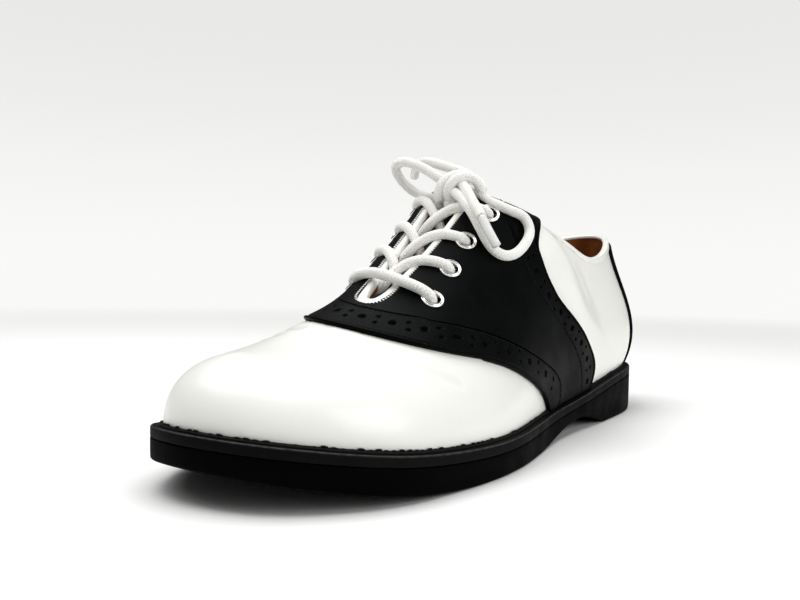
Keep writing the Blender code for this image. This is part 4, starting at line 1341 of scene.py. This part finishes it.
def plate(name, loops, finish, nodes, wearAndHighlight=()):
    # loops of inset and height, from the top edge to the bottom edge
    half = np.linspace(0, 1, soleSize["around"] // 2 + 1)
    curves = [outlineCurve(inset) for inset, height in loops]
    bm = bmesh.new()
    for side in (1, -1):
        edges = [c(side * half) for c in curves]
        rims = np.stack([np.concatenate([p, h(share(p[:, 1]))[:, None]], 1)
                         for p, (inset, h) in zip(edges, loops)])
        addSheet(bm, np.arange(len(half)), np.arange(len(loops)),
                 lambda i, k: rims[k.astype(int), i.astype(int)],
                 marks={"wearAndHighlight": lambda i, k: np.interp(k, np.arange(len(wearAndHighlight)), wearAndHighlight, right=0.0)}
                 if wearAndHighlight else None)
    for k in (0, -1):
        left, right = curves[k](-half), curves[k](half)
        height = loops[k][1]

        def place(i, t):
            i = i.astype(int)
            plan = left[i] * (1 - t[:, None]) + right[i] * t[:, None]
            return np.concatenate([plan, height(share(plan[:, 1]))[:, None]], 1)

        addSheet(bm, np.arange(len(half)), np.linspace(0, 1, soleSize["across"]), place)
    closeUp(bm)
    return addPiece(name, bm, [finish], nodes)


def soleSeat(s):
    return weltHeight(s) - soleSize["weltThick"] - last["gap"]


def between(t):
    return lambda s: treadHeight(s) * (1 - t) + soleSeat(s) * t


def under(depth):
    return lambda s: weltHeight(s) - depth


plate("outsole_rubber", [(inset, between(t)) for inset, t in soleSize["outsole"]],
      blackRubber, ["outsole"], wearAndHighlight=soleSize["outsoleWear"])
plate("welt_strip", [(inset, under(depth)) for inset, depth in soleSize["welt"]],
      greyRubber, ["welt"], wearAndHighlight=soleSize["weltHighlight"])
insoleEdge = last["weltShow"] + upperSize["wall"] + 2 * last["gap"]
plate("insole_sock", [(insoleEdge + inset, under(depth)) for inset, depth in soleSize["insole"]],
      brownLining, ["insole"])
print("sole done")

# Eyelets
eyeletSize = {
    "flange": 4.3,
    "bore": 2.95,
    "barrel": 3.3,
    "seat": 1.55,
    "high": 0.75,
    "deep": 1.9,
    "steps": 48,
}


def makeEyelets():
    size = eyeletSize
    seat, high, wide, bore = (size[k] for k in ("seat", "high", "flange", "bore"))
    # an outer and an inner roll with a groove between them
    profile = [
        (bore, -size["deep"]), (size["barrel"], -size["deep"]), (size["barrel"], seat),
        (wide, seat + 0.05), (wide + 0.02, seat + 0.30 * high), (wide - 0.15, seat + 0.72 * high),
        (wide - 0.36, seat + 0.85 * high), (wide - 0.56, seat + 0.60 * high),
        (wide - 0.66, seat + 0.30 * high), (wide - 0.80, seat + 0.60 * high),
        (wide - 1.00, seat + high), (bore + 0.12, seat + 0.80 * high), (bore, seat + 0.30 * high),
    ]
    for side, word in ((1, "lateral"), (-1, "medial")):
        for k in range(len(eyeletSpots)):
            bm = bmesh.new()
            verts = [bm.verts.new((r * mm, 0, h * mm)) for r, h in profile]
            edges = [bm.edges.new((verts[i], verts[i - 1])) for i in range(len(verts))]
            bmesh.ops.spin(bm, geom=verts + edges, cent=(0, 0, 0), axis=(0, 0, 1),
                           angle=2 * math.pi, steps=size["steps"], use_merge=True)
            closeUp(bm, merge=0.002)
            centre, axis = eyeletFrame(k, side)
            turn = Vector((0, 0, 1)).rotation_difference(Vector(axis)).to_matrix().to_4x4()
            bm.transform(Matrix.Translation(Vector(toFrame(centre))) @ turn)
            addPiece(f"eyelet_ring_{word}_{k + 1}", bm, [nickel],
                     [f"eyelet_{word}_{k + 1}"])


makeEyelets()

# Laces
laceSize = {
    "radius": 2.0,
    "around": 24,
    "step": 0.6,
    "tipRadius": 1.75,
    "barHigh": 3.8,
    # share of the way down to the next eyelet, way in from the rim, own side or not, height
    "over": ((0.12, -0.04, True, 2.6), (0.48, 0.75, True, 0.9), (0.76, 0.75, False, -0.6),
             (0.98, 0.25, False, -3.0), (1.10, -0.02, False, -4.6), (1.15, -0.06, False, -5.2)),
    "under": ((0.08, -0.04, True, 3.2), (0.40, 0.60, True, -0.2), (0.62, 0.85, False, -3.4),
              (0.80, 0.40, False, -5.0), (0.95, 0.0, False, -5.4), (1.02, -0.05, False, -5.4)),
    "barArch": 0.4,
    "barRim": -0.04,
    "through": (-3.0, 0.8),  # heights under and over an eyelet
    # the strands up to the knot: foot from the last eyelet, way in from the rim, height
    "rise": ((-0.012, -0.05, -4.7), (-0.008, 0.1, -3.7), (-0.004, 0.5, -1.4)),
    "firstAside": (0.3, 0.9, 0.2),
    "fine": 800,
}


def evenPath(route, spacing):
    route = np.array(route, float)
    fine = spline(runOf(route), route)(np.linspace(0, runOf(route)[-1], laceSize["fine"]))
    run = runOf(fine)
    count = max(2, int(round(run[-1] / spacing)) + 1)
    even = np.linspace(0, run[-1], count)
    return np.stack([np.interp(even, run, fine[:, i]) for i in range(3)], axis=1)


def laceTube(name, route, nodes, finish=None, radius=None):
    path = evenPath(route, laceSize["step"])
    run = runOf(path)
    ahead = unit(np.gradient(path, axis=0))
    aside = np.cross(ahead[0], laceSize["firstAside"])
    frames = []
    for way in ahead:
        aside = aside - way * np.dot(aside, way)
        aside = aside / np.linalg.norm(aside)
        frames.append((aside, np.cross(way, aside)))
    frames = np.array(frames)
    radius = radius or laceSize["radius"]
    around = laceSize["around"]

    def place(i, k):
        i = i.astype(int)
        turn = 2 * np.pi * (k % around) / around
        out = np.cos(turn)[:, None] * frames[i, 0] + np.sin(turn)[:, None] * frames[i, 1]
        return path[i] + radius * out

    bm = bmesh.new()
    addSheet(bm, np.arange(len(path)), np.arange(around + 1), place,
             uv=lambda i, k: np.stack([run[i.astype(int)], k / around], axis=1))
    capEnds(bm)
    closeUp(bm, merge=fineMerge)
    piece = addPiece(name, bm, [finish or cotton], nodes)
    return piece, toFrame(path)


def formAt(foot, way, side, height):
    # way is 0 at the throat's edge and 1 on the ridge
    q = np.array(side * foot)
    edge = np.interp(q, edgeFeet, edgeShare)
    w = np.array(edge + (1 - edge) * way if way > 0 else edge * (1 + way))
    return frontForm(q, w) + height * formNormal(q, w)


def throughEyelet(k, side):
    centre, axis = eyeletFrame(k, side)
    return [centre + axis * height for height in laceSize["through"]]


def crossing(k, side, way):
    # into an eyelet from above, over the rim, across the tongue and under the other facing
    high, low = eyeletSpots[k + 1][0], eyeletSpots[k][0]
    return throughEyelet(k + 1, side) + [
        formAt(high + (low - high) * part, inward, side if own else -side, height)
        for part, inward, own, height in way]


def makeLaces():
    foot = eyeletSpots[0][0]
    high, rim = laceSize["barHigh"], laceSize["barRim"]
    bar = throughEyelet(0, 1) + [formAt(foot, rim, 1, high),
                                 formAt(foot, 1.0, 1, high + laceSize["barArch"]),
                                 formAt(foot, rim, -1, high)] + throughEyelet(0, -1)[::-1]
    laceTube("lace_bar_strand", bar, ["lace_bar"])
    for k in range(len(eyeletSpots) - 1):
        laceTube(f"lace_over_{k + 1}", crossing(k, 1, laceSize["over"]), [f"lace_cross_{k + 1}"])
        laceTube(f"lace_under_{k + 1}", crossing(k, -1, laceSize["under"]), [])


makeLaces()

# The photograph's point of view, for the bow and the camera
view = {
    "place": (177.5, -280.4, 66.5),
    "yaw": 36.75,
    "pitch": 1.84,
    "roll": 0.95,
    "lens": 35.82,
    "sensor": 36.0,
    "nearest": 0.01,
}


def viewWays():
    # to the right, up and away from the viewer
    yaw, pitch = math.radians(view["yaw"]), math.radians(view["pitch"])
    away = np.array([-math.sin(yaw) * math.cos(pitch), math.cos(yaw) * math.cos(pitch),
                     -math.sin(pitch)])
    right = np.array([math.cos(yaw), math.sin(yaw), 0.0])
    return right, np.cross(right, away), away


# The bow is laid out from the knot in the plane that faces the viewer: right, up, away
bow = {
    "knot": (4.0, -12.0, 102.0),
    "knotRoute": ((-6.6, -4.8, 1.6), (-6.6, -1.6, -1.2), (-4.6, 1.8, -2.0), (-1.0, 4.2, -0.4),
                  (2.8, 4.8, 2.4), (7.2, 3.6, 3.6), (10.2, 0.8, 2.0), (10.0, -1.6, -0.8),
                  (8.4, 0.8, -3.4), (4.8, 3.2, -4.4), (1.4, 2.8, -4.6), (-1.8, 0.8, -4.2),
                  (-3.4, -2.2, -2.8), (-2.4, -4.4, 0.0), (1.2, -4.0, 2.0)),
    "loopLateral": ((2.0, -1.0, 3.0), (7.0, -1.5, 0.6), (11.4, -5.0, -1.8), (16.0, -7.5, -3.8),
                    (21.8, -10.0, -4.5), (26.6, -12.3, -4.0), (28.8, -16.7, -4.5),
                    (27.0, -22.5, -8.5), (22.9, -26.8, -12.5), (17.9, -28.2, -16.0),
                    (13.5, -26.2, -18.0), (10.2, -21.6, -17.0), (7.3, -15.8, -15.5),
                    (4.4, -10.3, -13.0), (2.1, -6.4, -9.0), (-0.4, -3.2, -4.6),
                    (-1.8, -1.6, -0.6)),
    "loopMedial": ((-1.0, -1.0, 2.4), (-5.8, 2.7, 2.6), (-11.4, 6.8, 4.0), (-17.4, 9.9, 7.0),
                   (-21.9, 10.9, 10.0), (-24.2, 9.4, 13.0), (-23.3, 6.7, 15.5),
                   (-20.6, 3.5, 18.0), (-17.2, 0.7, 19.0), (-13.5, -1.4, 17.5),
                   (-9.9, -3.2, 12.0), (-6.9, -4.5, 6.0), (-3.8, -4.8, 2.2), (-1.5, -3.6, 1.0)),
    "endLateral": ((-5.0, 1.5, 3.5), (-3.0, 2.5, 2.0), (0.2, 1.4, -1.2), (2.5, -0.4, -5.0),
                   (4.3, -4.3, -9.6), (6.4, -9.5, -15.2), (8.5, -14.2, -20.0)),
    "tipLateral": ((11.0, -19.9, -22.6), (13.7, -25.2, -24.6)),
    "endMedial": ((7.0, 0.0, 2.0), (6.4, 3.8, 3.0), (3.2, 6.1, 4.4), (-2.1, 8.4, 6.4),
                  (-7.6, 10.4, 8.8), (-11.2, 11.4, 11.2), (-14.0, 11.2, 13.6),
                  (-15.4, 10.0, 16.2)),
    "tipMedial": ((-15.9, 8.9, 19.4), (-16.2, 7.4, 23.4)),
    "topLateral": ((-2.6, -8.0, -0.6), (-2.2, -5.0, 1.0)),
    "topMedial": ((-6.4, -6.8, 4.6), (-3.4, -4.4, 3.0)),
}


def bowPoint(*reach):
    return np.array(bow["knot"]) + sum(r * way for r, way in zip(reach, viewWays()))


def makeBow():
    routes = {name: [bowPoint(*p) for p in points] for name, points in bow.items()
              if name != "knot"}
    piece, path = laceTube("bow_knot", routes["knotRoute"], ["lace_knot"])
    foot = eyeletSpots[-1][0]
    for side, word in ((1, "Lateral"), (-1, "Medial")):
        low = word.lower()
        piece, path = laceTube(f"bow_loop_{low}", routes["loop" + word], [f"lace_loop_{low}"])
        tube, path = laceTube(f"bow_end_{low}", routes["end" + word], [f"lace_end_{low}"])
        tip = laceTube(f"bow_tip_{low}", routes["end" + word][-1:] + routes["tip" + word],
                       [f"lace_tip_{low}"], clearTip, laceSize["tipRadius"])[0]
        rise = [formAt(foot + step, inward, side, height)
                for step, inward, height in laceSize["rise"]]
        laceTube(f"lace_top_{low}", rise + routes["top" + word], [])


makeBow()
print("laces done")

# Camera, floor and light
def makeCamera():
    right, up, ahead = (Vector(way) for way in viewWays())
    roll = math.radians(view["roll"])
    across = right * math.cos(roll) + up * math.sin(roll)
    rise = up * math.cos(roll) - right * math.sin(roll)
    data = bpy.data.cameras.new("view")
    data.lens = view["lens"]
    data.sensor_width = view["sensor"]
    data.clip_start = view["nearest"]
    camera = bpy.data.objects.new("view", data)
    bpy.context.scene.collection.objects.link(camera)
    turn = Matrix((across, rise, -ahead)).transposed().to_4x4()
    camera.matrix_world = Matrix.Translation(Vector(toFrame(view["place"]))) @ turn
    bpy.context.scene.camera = camera


def areaLight(name, place, aim, wide, watts):
    data = bpy.data.lights.new(name, "AREA")
    data.shape = "RECTANGLE"
    data.size = data.size_y = wide
    data.energy = watts
    lamp = bpy.data.objects.new(name, data)
    bpy.context.scene.collection.objects.link(lamp)
    lamp.location = place
    lamp.rotation_euler = (Vector(aim) - Vector(place)).to_track_quat("-Z", "Y").to_euler()


stageSize = {
    "floor": 6.0,
    "fadeStart": 0.22,
    "fadeEnd": 1.3,
    "floorColour": (0.86, 0.86, 0.855),
    "horizon": (0.795, 0.795, 0.787),
    "above": (0.692, 0.692, 0.682),
    "aboveFrom": 0.30,
    "roomLight": 0.24,
    # place, what it is aimed at, width in metres, watts
    "lights": {
        "top": ((-0.15, -0.02, 1.15), (0, 0, 0.03), 1.3, 12.6),
        "right": ((1.00, 0.05, 0.48), (0, 0, 0.05), 0.8, 4.6),
        "left": ((-0.50, -0.55, 1.05), (0, 0, 0.05), 0.8, 3.6),
    },
}


def floorFinish():
    # far from the shoe the floor turns into the even tone of the backdrop
    made, tree, shader = startFinish("floor_finish", {"Specular IOR Level": 0.0,
                                                      "Emission Strength": 1.0})
    spot = addNode(tree, "TexCoord").outputs["Object"]
    away = addNode(tree, "VectorMath", {0: spot}, operation="LENGTH").outputs["Value"]
    far = remap(tree, away, stageSize["fadeStart"], stageSize["fadeEnd"])
    dull = remap(tree, noise(tree, spot, 40.0, 3.0), 0.2, 0.8, 0.85, 0.95)
    tree.links.new(mixColour(tree, far, rgb(*stageSize["floorColour"]), rgb(0, 0, 0)),
                   shader["Base Color"])
    tree.links.new(mixColour(tree, far, rgb(0, 0, 0), rgb(*stageSize["horizon"])),
                   shader["Emission Color"])
    tree.links.new(dull, shader["Roughness"])
    return made


def makeRoom():
    world = bpy.data.worlds.new("room")
    world.use_nodes = True
    tree = world.node_tree
    tone = tree.nodes["Background"]
    way = addNode(tree, "TexCoord").outputs["Generated"]
    height = addNode(tree, "SeparateXYZ", {"Vector": way}).outputs["Z"]
    rise = remap(tree, height, 0.0, stageSize["aboveFrom"])
    colour = mixColour(tree, rise, rgb(*stageSize["horizon"]), rgb(*stageSize["above"]))
    tree.links.new(colour, tone.inputs["Color"])
    seen = addNode(tree, "LightPath").outputs["Is Camera Ray"]
    dim = stageSize["roomLight"]
    tree.links.new(sums(tree, "MULTIPLY_ADD", seen, 1 - dim, dim), tone.inputs["Strength"])
    bpy.context.scene.world = world


def makeStage():
    bm = bmesh.new()
    bmesh.ops.create_grid(bm, x_segments=2, y_segments=2, size=stageSize["floor"])
    data = bpy.data.meshes.new("floor")
    bm.to_mesh(data)
    bm.free()
    data.materials.append(floorFinish())
    floor = bpy.data.objects.new("floor", data)
    bpy.context.scene.collection.objects.link(floor)
    makeRoom()
    bpy.context.scene.view_settings.view_transform = "Standard"
    bpy.context.scene.view_settings.look = "Medium High Contrast"
    for name, setting in stageSize["lights"].items():
        areaLight(name, *setting)


makeCamera()
makeStage()
print("stage done")
